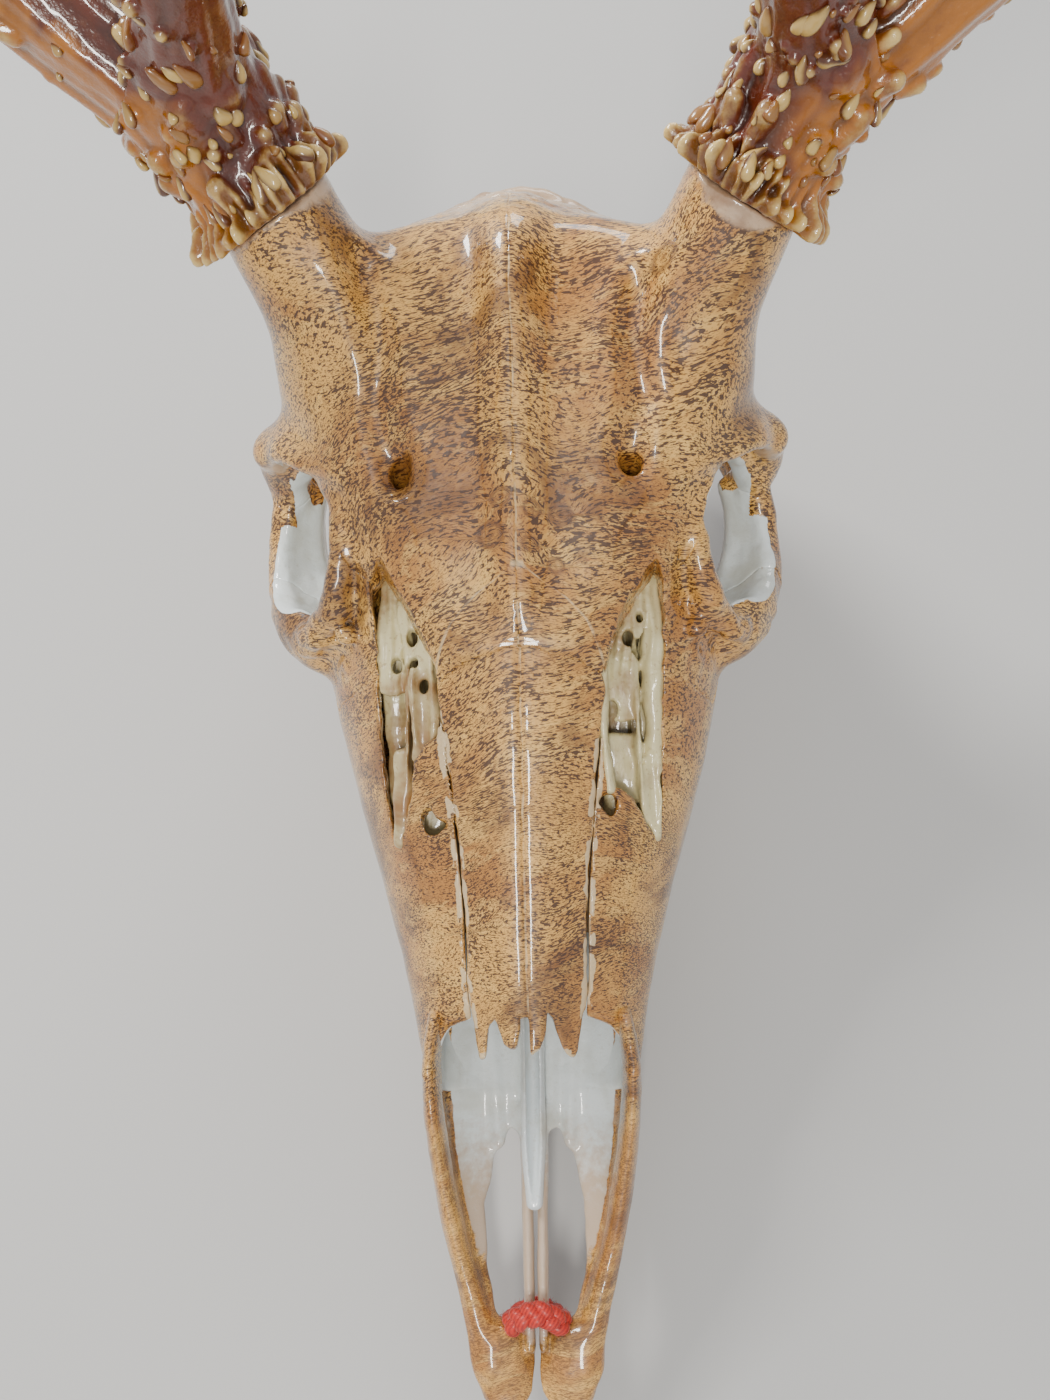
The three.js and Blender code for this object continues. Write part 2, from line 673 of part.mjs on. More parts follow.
// The burr: a ring of uneven knobs round the foot of the antler
function burr() {
  const curve = beamCurve(1);
  const ahead = curve.getTangent(0);
  const upright = new THREE.Quaternion().setFromUnitVectors(Z_AXIS, ahead);
  const foot = curve.getPoint(0).addScaledVector(ahead, BURR.thick / 2);
  const place = (geometry) => solid(geometry.applyQuaternion(upright).translate(foot.x, foot.y, foot.z));
  const collar = new THREE.CylinderGeometry(BURR.radius, BURR.radius, BURR.thick, 12).rotateX(Math.PI / 2);
  const pieces = [place(collar)];
  for (let i = 0; i < BURR.knobs; i++) {
    const turn = (2 * Math.PI * i) / BURR.knobs;
    const size = BURR.knob * (1 + 0.22 * Math.sin(i * 2.4 + 1));
    const out = BURR.radius + 0.6 + Math.sin(i * 1.7);
    const knob = new THREE.SphereGeometry(1, 5, 4).rotateX(Math.PI / 2).scale(size, size, size * 1.25);
    pieces.push(place(knob.translate(out * Math.cos(turn), out * Math.sin(turn), Math.sin(i * 2.9))));
  }
  return join(...pieces);
}

// Skull: every bone joined as one mass, hollowed, and then parted along the sutures
const mass = join(
  loft(FACE, { steps: 12 }),
  loft(FRONTAL, { above: 2.8, steps: 10 }),
  loft(BRAINCASE, { steps: 9 }),
  loft(SKULL_BASE, { sides: 8, steps: 3 }),
  bar(MID_RIDGE, { steps: 5 }),
  bar(NUCHAL_CREST, { steps: 10 }),
  pair(orbitRim),
  pair(cheek),
  pair(earAndBase),
  pair(pedicle),
);
const supraorbital = (side) => {
  const { x, y, radius, from } = SUPRAORBITAL_HOLE;
  const hole = new THREE.CylinderGeometry(radius, radius, 40, 10).rotateX(Math.PI / 2);
  return solid(hole.translate(side * x, y, from + 20));
};
const canal = new THREE.CylinderGeometry(FORAMEN_MAGNUM.radius, FORAMEN_MAGNUM.radius, 60, 14);
const foramenMagnum = solid(canal.translate(0, FORAMEN_MAGNUM.from + 30, FORAMEN_MAGNUM.z));
const hollows = join(
  loft(NOSE_CAVITY, { steps: 9 }),
  loft(PALATE_VAULT, { sides: 12, steps: 4 }),
  loft(CHOANA, { sides: 10, steps: 3 }),
  pair(orbitHollow),
  pair((side) => prism(sided(side, VACUITY), 50, 130)),
  pair(supraorbital),
  pair((side) => footDisc(side, 0, 40)),
  sideways(NOSE_OPENING, -40, 40),
  nasalPair(GAP),
  nasalPair(-2.2, 13.4, 4),
  foramenMagnum,
  box([-100, -200, -50], [100, 200, 0]),
);
const snoutRoom = pair((side) => premaxilla(side, GAP));
let rest = mass.subtract(hollows).add(pair((side) => bar(sided(side, WING), { steps: 4 })));
rest = rest.add(pair(toothRow)).subtract(snoutRoom);

// Where the bones meet, as side-view outlines in Y and Z and one plan in X and Y
const FRONTAL_SIDE = [
  [-8, 150], [-8, 84], [10, 84], [22, 82], [30, 78], [44, 74], [56, 72], [68, 76], [86, 84], [93, 100], [97, 150],
];
const FRONTAL_PLAN = [
  [-75, 28], [-41, 22], [-32, 13.5], [-24, 3], [-24, -9], [24, -9],
  [24, 3], [32, 13.5], [41, 22], [75, 28], [75, 110], [-75, 110],
];
const LACRIMAL_SIDE = [[-4, 104], [-4, 62], [9, 57], [24, 58], [30, 66], [32, 76], [30, 104]];
const ZYGOMATIC_SIDE = [[1, 61], [0, 46], [10, 40], [40, 42], [62, 46], [74, 52], [71, 64], [71, 84], [30, 84]];
const MAXILLA_BACK = 16;
const LEFT = box([GAP / 2, -200, -1], [300, 200, 500]);

const braincase = rest.intersect(box([-100, MAXILLA_BACK + GAP, -1], [100, 200, 200]));
const regions = [
  ["frontal", FRONTAL_SIDE, GAP / 2, FRONTAL_PLAN],
  ["lacrimal", LACRIMAL_SIDE, 24],
  ["zygomatic", ZYGOMATIC_SIDE, 37],
];
let left = rest.intersect(LEFT);
let middle = braincase;
for (const [name, outline, near, plan] of regions) {
  let bone;
  [bone, left] = carve(left, 1, outline, near, 80, plan);
  addPair(name, bone, FILM);
  for (const side of [1, -1]) middle = carve(middle, side, outline, name === "frontal" ? -GAP : near, 80, plan)[1];
}
add("braincase", middle, FILM);
addPair("maxilla", left.intersect(box([0, -120, -1], [80, MAXILLA_BACK, 130])), FILM);
addPair("nasal", nasalPair().intersect(LEFT).subtract(PRONG_ROOM), FILM);
addPair("premaxilla", premaxilla(1), FILM);

const scrolls = turbinates().subtract(rest).subtract(rest.translate(0, 0, GAP));
addPair("turbinates", scrolls.subtract(rest.translate(-GAP, 0, 0)).subtract(nasalPair(GAP)), PALE_BONE);
const septum = bar(VOMER).subtract(rest).subtract(rest.translate(0, 0, GAP));
add("vomer", septum.subtract(snoutRoom), PALE_BONE);

const cuts = [0, ...TINES.map(({ at }) => at + FORK_REACH), 1];
const steps = (k) => (k ? 7 : 4);
LENGTHS.forEach((name, k) => {
  const from = cuts[k] + (k ? HALF_CUT : 0);
  const to = cuts[k + 1] - (k + 1 < LENGTHS.length ? HALF_CUT : 0);
  const length = beamLength(from, to, steps(k));
  addPair(name, k === 0 ? length.add(burr()).subtract(footDisc(1, GAP - 40, 40)) : length, ANTLER);
});
const room = join(...LENGTHS.map((_, k) => beamLength(cuts[k], cuts[k + 1], steps(k), GAP)));
for (const facts of TINES) addPair(facts.name, tine(facts).subtract(room), ANTLER);

// Cord: a short braided band round the two palatine rods
const band = new THREE.TorusGeometry(1, CORD.radius / CORD.across, 6, 18);
band.scale(CORD.across, CORD.upright, CORD.across).rotateX(Math.PI / 2);
add("cord", solid(band.translate(0, CORD.y, CORD.z)), RED_CORD);

// The origin is at the middle of the whole part's footprint
const bounds = new THREE.Box3().setFromObject(part);
part.position.set(-(bounds.min.x + bounds.max.x) / 2, -(bounds.min.y + bounds.max.y) / 2, -bounds.min.z);

export default part;
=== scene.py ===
import math

import bpy
import numpy as np
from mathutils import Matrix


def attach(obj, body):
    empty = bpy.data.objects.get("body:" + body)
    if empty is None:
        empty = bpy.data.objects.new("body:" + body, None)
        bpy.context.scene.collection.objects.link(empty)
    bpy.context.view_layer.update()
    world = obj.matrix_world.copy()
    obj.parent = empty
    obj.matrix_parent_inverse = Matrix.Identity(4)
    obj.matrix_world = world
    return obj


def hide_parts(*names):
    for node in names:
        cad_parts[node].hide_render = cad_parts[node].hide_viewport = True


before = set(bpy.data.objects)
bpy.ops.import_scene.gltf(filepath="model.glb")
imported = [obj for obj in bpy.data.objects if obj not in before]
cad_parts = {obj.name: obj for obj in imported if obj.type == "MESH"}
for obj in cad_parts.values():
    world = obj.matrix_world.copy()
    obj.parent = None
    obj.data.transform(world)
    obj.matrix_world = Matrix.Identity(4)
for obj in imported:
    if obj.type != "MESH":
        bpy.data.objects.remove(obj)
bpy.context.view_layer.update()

import openvdb
from mathutils import Matrix, Vector

# ---------------------------------------------------------------------------------------------
# The view: the skull lies on a pale table and is looked at from above its forehead, through a
# lens of about 29 mm held 0.3 m over the muzzle. A narrow bright lamp stands before the snout, so
# that the clear coat shows a streak down the nasal bones. Two more stand behind, and the pale sky
# fills the rest.
# ---------------------------------------------------------------------------------------------
TABLE_LIFT = 12.745  # from the skull's own middle line of teeth to the frame's origin, in mm
EYE = Vector((8.8, -108.8 + TABLE_LIFT, 321.2)) / 1000
TILT, ROLL, YAW = (math.radians(turn) for turn in (22.4, -1.29, -1.78))

lens = bpy.data.cameras.new("view_lens")
lens.sensor_width = 36
lens.lens = 1132 * 36 / 1400
lens.clip_start = 0.01
lens.clip_end = 20
looking = Vector((0, math.sin(TILT), -math.cos(TILT)))
upward = Vector((0, math.cos(TILT), math.sin(TILT)))
across_view = Vector((1, 0, 0))
looking, across_view = (
    looking * math.cos(YAW) + across_view * math.sin(YAW),
    across_view * math.cos(YAW) - looking * math.sin(YAW),
)
across_view, upward = (
    across_view * math.cos(ROLL) + upward * math.sin(ROLL),
    upward * math.cos(ROLL) - across_view * math.sin(ROLL),
)
camera = bpy.data.objects.new("view_camera", lens)
turned = Matrix((across_view, upward, -looking)).transposed().to_4x4()
camera.matrix_world = Matrix.Translation(EYE) @ turned
bpy.context.scene.collection.objects.link(camera)
bpy.context.scene.camera = camera

table_mesh = bpy.data.meshes.new("table_top")
TABLE_REACH = 6  # metres each way
TABLE_DROP = 0.0003  # metres below the teeth
corners = [(-1, -1), (1, -1), (1, 1), (-1, 1)]
corners = [(x * TABLE_REACH, y * TABLE_REACH, -TABLE_DROP) for x, y in corners]
table_mesh.from_pydata(corners, [], [(0, 1, 2, 3)])
table_top = bpy.data.objects.new("table_top", table_mesh)
bpy.context.scene.collection.objects.link(table_top)
paper = bpy.data.materials.new("pale_paper")
paper.use_nodes = True
shader = paper.node_tree.nodes["Principled BSDF"]
shader.inputs["Base Color"].default_value = (0.5, 0.495, 0.485, 1)
shader.inputs["Roughness"].default_value = 0.9
table_mesh.materials.append(paper)

sky = bpy.data.worlds.new("studio")
sky.use_nodes = True
background = sky.node_tree.nodes["Background"]
background.inputs["Color"].default_value = (0.94, 0.97, 1, 1)
background.inputs["Strength"].default_value = 0.66
bpy.context.scene.world = sky


def lamp(name, place, aim, size, power, color=(1, 1, 1)):
    light = bpy.data.lights.new(name, "AREA")
    light.shape = "RECTANGLE"
    light.size, light.size_y = size
    light.energy = power
    light.color = color
    holder = bpy.data.objects.new(name, light)
    holder.location = place
    holder.rotation_mode = "QUATERNION"
    holder.rotation_quaternion = (Vector(aim) - Vector(place)).to_track_quat("-Z", "Y")
    bpy.context.scene.collection.objects.link(holder)


lamp("lamp_before_snout", (-0.05, -0.66, 0.96), (0, -0.05, 0.08), (0.12, 0.38), 8, (1, 0.96, 0.9))
lamp("window_behind_left", (-0.85, 0.8, 1.05), (0, 0.05, 0.08), (0.45, 0.35), 26, (1, 0.98, 0.95))
lamp("glow_behind", (0.3, 1.4, 0.9), (0, 0, 0.15), (0.8, 0.35), 8)

# ---------------------------------------------------------------------------------------------
# Bones of the skull. Each bone is cut from one body of bone, which is held as a block of
# distances to its surface, in mm. Swellings are joined softly, hollows are cut, the small
# roughness of dry bone is added, and the block is then parted along the wavy sutures.
# ---------------------------------------------------------------------------------------------
FAR = 9.0  # the farthest distance that a block needs to hold, in mm


def along(table, place):
    """Smooth values at any place in a table of [place, value, ...] rows."""
    table = np.asarray(table, np.float32)
    keys, rows = table[:, 0], table[:, 1:]
    last = len(keys) - 1
    i = np.clip(np.searchsorted(keys, place, side="right") - 1, 0, last - 1)
    t = np.clip((place - keys[i]) / (keys[i + 1] - keys[i]), 0, 1)[..., None].astype(np.float32)
    a, b, c, d = rows[np.maximum(i - 1, 0)], rows[i], rows[i + 1], rows[np.minimum(i + 2, last)]
    leave = (t**3 - 2 * t**2 + t) * (c - a) * 0.5
    arrive = (t**3 - t**2) * (d - b) * 0.5
    mixed = (2 * t**3 - 3 * t**2 + 1) * b + leave + (3 * t**2 - 2 * t**3) * c + arrive
    return [mixed[..., k] for k in range(rows.shape[1])]


def soft_low(a, b, blend):
    """The lower of two distances, rounded where they meet."""
    if not blend:
        return np.minimum(a, b)
    near = np.maximum(blend - np.abs(a - b), 0) / blend
    return np.minimum(a, b) - near * near * (blend * 0.25)


def soft_high(a, b, blend):
    return -soft_low(-a, -b, blend)


def ramp(value, start, end):
    """Zero before start, one after end and smooth between."""
    t = np.clip((value - start) / (end - start), 0, 1)
    return t * t * (3 - 2 * t)


def spread(values, coarse, fine):
    """Carries values smoothly from coarse rows of points to fine ones, four at a time."""
    for k in range(3):
        place = (fine[k] - coarse[k][0]) / (coarse[k][1] - coarse[k][0])
        first = np.floor(place).astype(int)
        t = (place - first).astype(np.float32)
        shares = ((1 - t) ** 3, 3 * t**3 - 6 * t**2 + 4, -3 * t**3 + 3 * t**2 + 3 * t + 1, t**3)
        shape = [-1 if axis == k else 1 for axis in range(3)]
        total = 0
        for step, share in enumerate(shares):
            index = np.clip(first + step - 1, 0, len(coarse[k]) - 1)
            total = total + values.take(index, k) * (share / 6).reshape(shape)
        values = total
    return values


class Block:
    """A box of evenly spaced points that holds each point's distance to a surface."""

    def __init__(self, low, high, spacing):
        self.spacing = spacing
        self.axes = [np.arange(a, b + spacing, spacing, dtype=np.float32) for a, b in zip(low, high)]
        self.value = np.full([len(axis) for axis in self.axes], FAR, np.float32)

    def open(self, slices=(slice(None),) * 3):
        return np.ix_(*[axis[cut] for axis, cut in zip(self.axes, slices)])

    def window(self, low, high, margin=0):
        cuts = []
        for axis, a, b in zip(self.axes, low, high):
            cuts.append(slice(*np.searchsorted(axis, [a - margin, b + margin])))
        return tuple(cuts)

    def join(self, shape, blend=0.0):
        low, high, reach = shape
        cut = self.window(low, high, blend + 4)
        self.value[cut] = soft_low(self.value[cut], reach(*self.open(cut)), blend)

    def cut(self, shape, blend=0.0):
        low, high, reach = shape
        cut = self.window(low, high, blend + 4)
        self.value[cut] = soft_high(self.value[cut], -reach(*self.open(cut)), blend)

    def finer(self, times):
        made = Block([a[0] for a in self.axes], [a[-1] for a in self.axes], self.spacing / times)
        made.value = spread(np.clip(self.value, -FAR, FAR), self.axes, made.axes)
        return made


def roughness(axes, grain, seed):
    """Smooth random swellings about one grain across, between -1 and 1."""
    coarse = [np.arange(a[0] - 2 * grain, a[-1] + 3 * grain, grain, dtype=np.float32) for a in axes]
    draws = np.random.default_rng(seed).uniform(-1, 1, [len(a) for a in coarse]).astype(np.float32)
    return spread(draws, coarse, axes) * 1.9


def ball(centre, radii):
    def reach(x, y, z):
        u, v, w = ((p - c) / r for p, c, r in zip((x, y, z), centre, radii))
        size = np.sqrt(u * u + v * v + w * w)
        slope = np.sqrt((u / radii[0]) ** 2 + (v / radii[1]) ** 2 + (w / radii[2]) ** 2)
        return size * (size - 1) / np.maximum(slope, 1e-4)

    low = [c - r for c, r in zip(centre, radii)]
    return low, [c + r for c, r in zip(centre, radii)], reach


def loft(table, above=2.0, below=2.4, ends=3.0):
    """A body along Y. Each row is [y, widest level, half width, top, bottom]."""
    table = np.asarray(table, np.float32)

    def reach(x, y, z):
        level, half, top, bottom = along(table, y)
        up = z >= level
        tall = np.where(up, top - level, level - bottom)
        power = np.where(up, np.float32(above), np.float32(below))
        u = np.abs(x) / half
        v = np.abs(z - level) / tall
        inner = u ** (power - 1)
        outer = v ** (power - 1)
        total = np.maximum(inner * u + outer * v, 1e-6)
        size = total ** (1 / power)
        slope = np.sqrt((inner / half) ** 2 + (outer / tall) ** 2) * size / total
        skin = (size - 1) / np.maximum(slope, 1e-3)
        return soft_high(skin, np.maximum(table[0, 0] - y, y - table[-1, 0]) + 0 * skin, ends)

    wide = table[:, 2].max()
    low = [-wide, table[0, 0], table[:, 4].min()]
    return low, [wide, table[-1, 0], table[:, 3].max()], reach


def smooth_path(points, steps):
    """Even steps along a curve through the points, with the sizes that follow each point."""
    points = np.asarray(points, float)
    place = points[:, :3]
    ends = np.vstack([2 * place[0] - place[1], place, 2 * place[-1] - place[-2]])
    t = np.linspace(0, len(points) - 1, steps + 1)
    i = np.minimum(t.astype(int), len(points) - 2)
    u = (t - i)[:, None]
    a, b, c, d = (ends[i + k] for k in range(4))
    pairs = ((a, b), (b, c), (c, d))
    ab, bc, cd = (np.sqrt(np.linalg.norm(q - p, axis=1, keepdims=True)) for p, q in pairs)
    leave = ((b - a) / ab - (c - a) / (ab + bc) + (c - b) / bc) * bc
    arrive = ((c - b) / bc - (d - b) / (bc + cd) + (d - c) / cd) * bc
    square = 3 * (c - b) - 2 * leave - arrive
    cube = 2 * (b - c) + leave + arrive
    curve = b + leave * u + square * u**2 + cube * u**3
    return np.hstack([curve, points[i, 3:] * (1 - u) + points[i + 1, 3:] * u])


def bar(points, up=(0, 0, 1), steps=12, relief=None):
    """A bar along a curve. Each point is [x, y, z, across, upright]."""
    spine = smooth_path(points, steps)
    widest = spine[:, 3:].max()

    def reach(x, y, z):
        best = np.full(np.broadcast_shapes(x.shape, y.shape, z.shape), FAR, np.float32)
        for k, (p, q) in enumerate(zip(spine, spine[1:])):
            near = max(p[3:].max(), q[3:].max()) + 6
            cut = []
            for place, axis in enumerate((x, y, z)):
                flat = axis.ravel()
                low, high = sorted((p[place], q[place]))
                cut.append(slice(*np.searchsorted(flat, [low - near, high + near])))
            run = q[:3] - p[:3]
            length = np.linalg.norm(run)
            ahead = run / length
            side = np.cross(ahead, up)
            side /= np.linalg.norm(side)
            lift = np.cross(side, ahead)
            dx = x[cut[0]] - p[0]
            dy = y[:, cut[1]] - p[1]
            dz = z[:, :, cut[2]] - p[2]
            if 0 in (dx.size, dy.size, dz.size):
                continue
            down, s, l = (
                dx * np.float32(v[0]) + dy * np.float32(v[1]) + dz * np.float32(v[2])
                for v in (ahead, side, lift)
            )
            t = np.clip(down / length, 0, 1)
            wide = p[3] + (q[3] - p[3]) * t
            tall = p[4] + (q[4] - p[4]) * t
            thin = min(p[3:].min(), q[3:].min())
            e = (down - t * length) / thin
            u, v = s / wide, l / tall
            size = np.sqrt(u * u + v * v + e * e)
            slope = np.sqrt((u / wide) ** 2 + (v / tall) ** 2 + (e / thin) ** 2)
            gap = size * (size - 1) / np.maximum(slope, 1e-4)
            if relief:
                gap = gap - relief(np.arctan2(l, s), (k + t) / steps)
            best[tuple(cut)] = np.minimum(best[tuple(cut)], gap)
        return best

    low = spine[:, :3].min(0) - widest
    return low, spine[:, :3].max(0) + widest, reach


def flat_reach(outline, a, b):
    """Distance to a closed outline in a plane, below zero inside it."""
    best = np.full(np.broadcast_shapes(a.shape, b.shape), 1e6, np.float32)
    inside = np.zeros(best.shape, bool)
    points = np.asarray(outline, np.float32)
    for (pa, pb), (qa, qb) in zip(points, np.roll(points, -1, 0)):
        ra, rb = qa - pa, qb - pb
        t = np.clip(((a - pa) * ra + (b - pb) * rb) / (ra * ra + rb * rb), 0, 1)
        best = np.minimum(best, np.hypot(a - pa - ra * t, b - pb - rb * t))
        crosses = ((pb > b) != (qb > b)) & (a < ra * (b - pb) / (rb if rb else 1e-9) + pa)
        inside ^= crosses
    return np.where(inside, -best, best)


def plan(outline, low, high):
    """An outline in X and Y, carried from one height to another."""
    points = np.asarray(outline, float)

    def reach(x, y, z):
        return np.maximum(flat_reach(points, x, y), np.maximum(low - z, z - high))

    return [*points.min(0), low], [*points.max(0), high], reach


def sided(side, points):
    return [[side * row[0], *row[1:]] for row in points]


# Eye sockets, nose, braincase and the other main swellings, in mm
ORBIT = {"x": 52, "y": 32, "z": 79, "radius": 20.5, "rim": 3.4}
PEDICLE = {"base": (40, 70, 115), "top": (50, 82.5, 138), "past": (54, 87, 147), "radius": 13}
FACE = [
    [-92, 33, 25.6, 52, 21],
    [-80, 36, 27.3, 58, 20],
    [-60, 40, 31.4, 68, 14],
    [-48, 42, 34.8, 73.5, 12],
    [-35, 45, 38.6, 79.5, 11.5],
    [-23, 48, 42.3, 85, 11.5],
    [-11, 52, 45.4, 90, 12],
    [0, 55, 48, 95, 14],
    [12, 58, 49.5, 99, 19],
    [22, 60, 44, 103, 26],
    [30, 62, 33, 106, 36],
]
NOSE_CAVITY = [
    [-100, 36, 21.4, 60, 24.5],
    [-80, 38, 22.6, 56, 24.5],
    [-60, 41, 27, 65, 24],
    [-35, 45, 34, 76.5, 24],
    [-11, 52, 41, 87, 27],
    [4, 57, 42, 92, 36],
    [11, 62, 34, 91.5, 46],
]
PALATE_VAULT = [
    [-90, 8, 14, 19, -3],
    [-60, 8, 15.5, 21, -3],
    [-10, 8, 18.5, 21.5, -3],
    [20, 8, 19, 21, -3],
]
CHOANA = [
    [4, 38, 9, 50, 24],
    [18, 38, 11, 50, 16],
    [40, 38, 11, 48, 12],
    [62, 38, 9, 45, 20],
]
NOSE_OPENING = [[-130, 33], [-92, 33], [-86, 41], [-79, 50], [-73, 66], [-73, 120], [-130, 120]]
FRONTAL = [
    [-4, 78, 22, 96.5, 70],
    [8, 80, 33, 100.3, 70],
    [20, 86, 38.5, 106, 74],
    [30, 92, 41, 111, 80],
    [40, 95, 44.5, 116, 82],
    [50, 94, 51, 121, 80],
    [58, 93, 55.5, 125, 76],
    [66, 98, 55.5, 128, 76],
    [76, 104, 52.5, 130.8, 80],
    [86, 104, 44, 129.6, 84],
    [96, 98, 34, 123, 84],
]
BRAINCASE = [
    [34, 78, 20, 108, 48],
    [48, 80, 29, 116, 42],
    [62, 80, 36, 124, 38],
    [78, 79, 39.5, 127.5, 36],
    [92, 77, 40.5, 125.5, 35],
    [104, 74, 39, 118, 36],
    [114, 71, 36, 108.5, 38],
    [122, 68, 31, 98, 41],
    [128, 64, 23, 85, 46],
]
SKULL_BASE = [
    [58, 40, 7, 50, 33],
    [80, 37, 9, 50, 30],
    [104, 37, 13, 50, 30.5],
    [124, 40, 13, 52, 33],
]
MID_RIDGE = [
    [0, 8, 96, 5, 5.5],
    [0, 40, 113.5, 6, 5],
    [0, 66, 126.5, 6.5, 5],
    [0, 82, 129.5, 7, 4.6],
    [0, 96, 121, 7, 4],
]
NUCHAL_CREST = [
    [36, 106, 60, 3, 4],
    [32, 115, 78, 3, 4],
    [20, 121, 91, 3, 4],
    [0, 124.5, 97, 3.4, 4],
    [-20, 121, 91, 3, 4],
    [-32, 115, 78, 3, 4],
    [-36, 106, 60, 3, 4],
]
CHEEK_BOWL = ((49, 30, 64), (15.5, 24, 14.5))
ARCH = [
    [58, 44, 66, 3, 7.5],
    [58.5, 56, 63, 2.8, 6.5],
    [55.5, 67, 61, 2.6, 5.5],
    [50, 78, 61.5, 2.8, 5.2],
    [40, 88, 63, 4, 5.5],
]
BACK_BAR = [[56, 54, 64, 7.5, 3.2], [60.5, 55, 76, 5.4, 3.2], [61, 55, 88, 4.4, 4]]
POSTORBITAL = [
    [36, 44, 105, 9, 4],
    [46, 49, 101, 9.5, 3.6],
    [54, 54, 96.5, 8.5, 3.4],
    [60.5, 56, 89.5, 6, 3.6],
]
EAR_TUBE = [[27, 93, 40, 5, 5], [41.5, 96, 52, 4.4, 4.4]]
EAR_SPUR = [[32, 112, 56, 9, 6], [31, 111, 36, 8, 4.6], [29, 108, 14, 5.5, 3.6], [28, 107, -4, 4, 3]]
LACRIMAL_KNOBS = [
    ((43, 11.5, 85), (3.4, 2.2, 2.2)),
    ((41, 6.5, 83), (2.6, 2.4, 2)),
    ((43.5, 17, 83), (2.4, 2, 2.2)),
]
WING = [[17, 8, 32, 3, 14], [15, 26, 35, 2.6, 14], [14, 44, 37, 2.4, 12], [14, 58, 38, 2.2, 9]]

# Openings in front of the eyes, and a smaller break beside each nasal bone, seen from above
VACUITY = {
    -1: [
        (-31.6, 18.5), (-34.3, 13.5), (-33.6, 4.3), (-33.3, -8.3), (-32.9, -20.7), (-32.1, -29.1),
        (-30, -39.3), (-27.5, -34.4), (-25.6, -28.7), (-24.9, -22.8), (-22.3, -20.2),
        (-19.4, -18.6), (-18.2, -11.6), (-19, -5), (-21.6, 0.2), (-24.2, 6), (-27.7, 12.4),
    ],
    1: [
        (31.3, 17.6), (32.7, 11.2), (32.7, 2.6), (32.2, -9.9), (32, -22.1), (32, -30.2), (30.4, -37.9),
        (27.7, -35.3), (25.6, -31.6), (24.2, -30.4), (21.4, -30), (18.8, -28), (18.3, -20), (18.5, -8.3),
        (20.7, 0.1), (23.9, 7), (27.5, 12),
    ],
}
BROKEN_HOLE = {
    -1: [
        (-23.6, -33.6), (-21.8, -32.7), (-18.8, -35.1), (-16.9, -36.8), (-19.1, -38.5),
        (-21.6, -39.3), (-23.3, -37.4),
    ],
    1: [(15.4, -33), (17.7, -31.4), (20.4, -31.6), (21.8, -33.9), (19.7, -36), (17.2, -34.9)],
}


def orbit_rim(side):
    """The raised ring round the eye, which faces out, up and a little forwards."""
    facing = Vector((side * 0.83, -0.16, 0.53)).normalized()
    turn = np.array(Vector((0, 0, 1)).rotation_difference(facing).to_matrix(), np.float32)
    x0, y0, z0 = side * ORBIT["x"], ORBIT["y"], ORBIT["z"]

    def reach(x, y, z):
        dx, dy, dz = x - x0, y - y0, z - z0
        u, v, w = (dx * turn[0, k] + dy * turn[1, k] + dz * turn[2, k] for k in range(3))
        ring = np.sqrt(u * u + (v / 1.06) ** 2) - ORBIT["radius"]
        return np.sqrt(ring * ring + w * w) - ORBIT["rim"]

    out = ORBIT["radius"] * 1.06 + ORBIT["rim"]
    return [x0 - out, y0 - out, z0 - out], [x0 + out, y0 + out, z0 + out], reach


def orbit_hollows(side):
    x, y, z = ORBIT["x"], ORBIT["y"], ORBIT["z"]
    return [
        ball((side * (x - 8), y + 3, z - 1), (19, 19.5, 20)),
        ball((side * (x + 9), y, z + 6), (15, 18.5, 17)),
        ball((side * (x - 8), y + 15, z - 20), (9, 18, 18)),
    ]


def above_pedicle(side, lift=0):
    """All that lies past the top of a pedicle, where the antler's burr sits."""
    top = np.array(PEDICLE["top"]) * (side, 1, 1)
    ahead = BEAM_FOOT * (side, 1, 1)

    def reach(x, y, z):
        out = np.sqrt((x - top[0]) ** 2 + (y - top[1]) ** 2 + (z - top[2]) ** 2) - 34
        past = (x - top[0]) * ahead[0] + (y - top[1]) * ahead[1] + (z - top[2]) * ahead[2]
        return np.maximum(out, lift - past)

    return top - 36, top + 36, reach


BEAM_FOOT = np.array([0.5197, 0.4310, 0.7378])
BEAM_FOOT = BEAM_FOOT / np.linalg.norm(BEAM_FOOT)

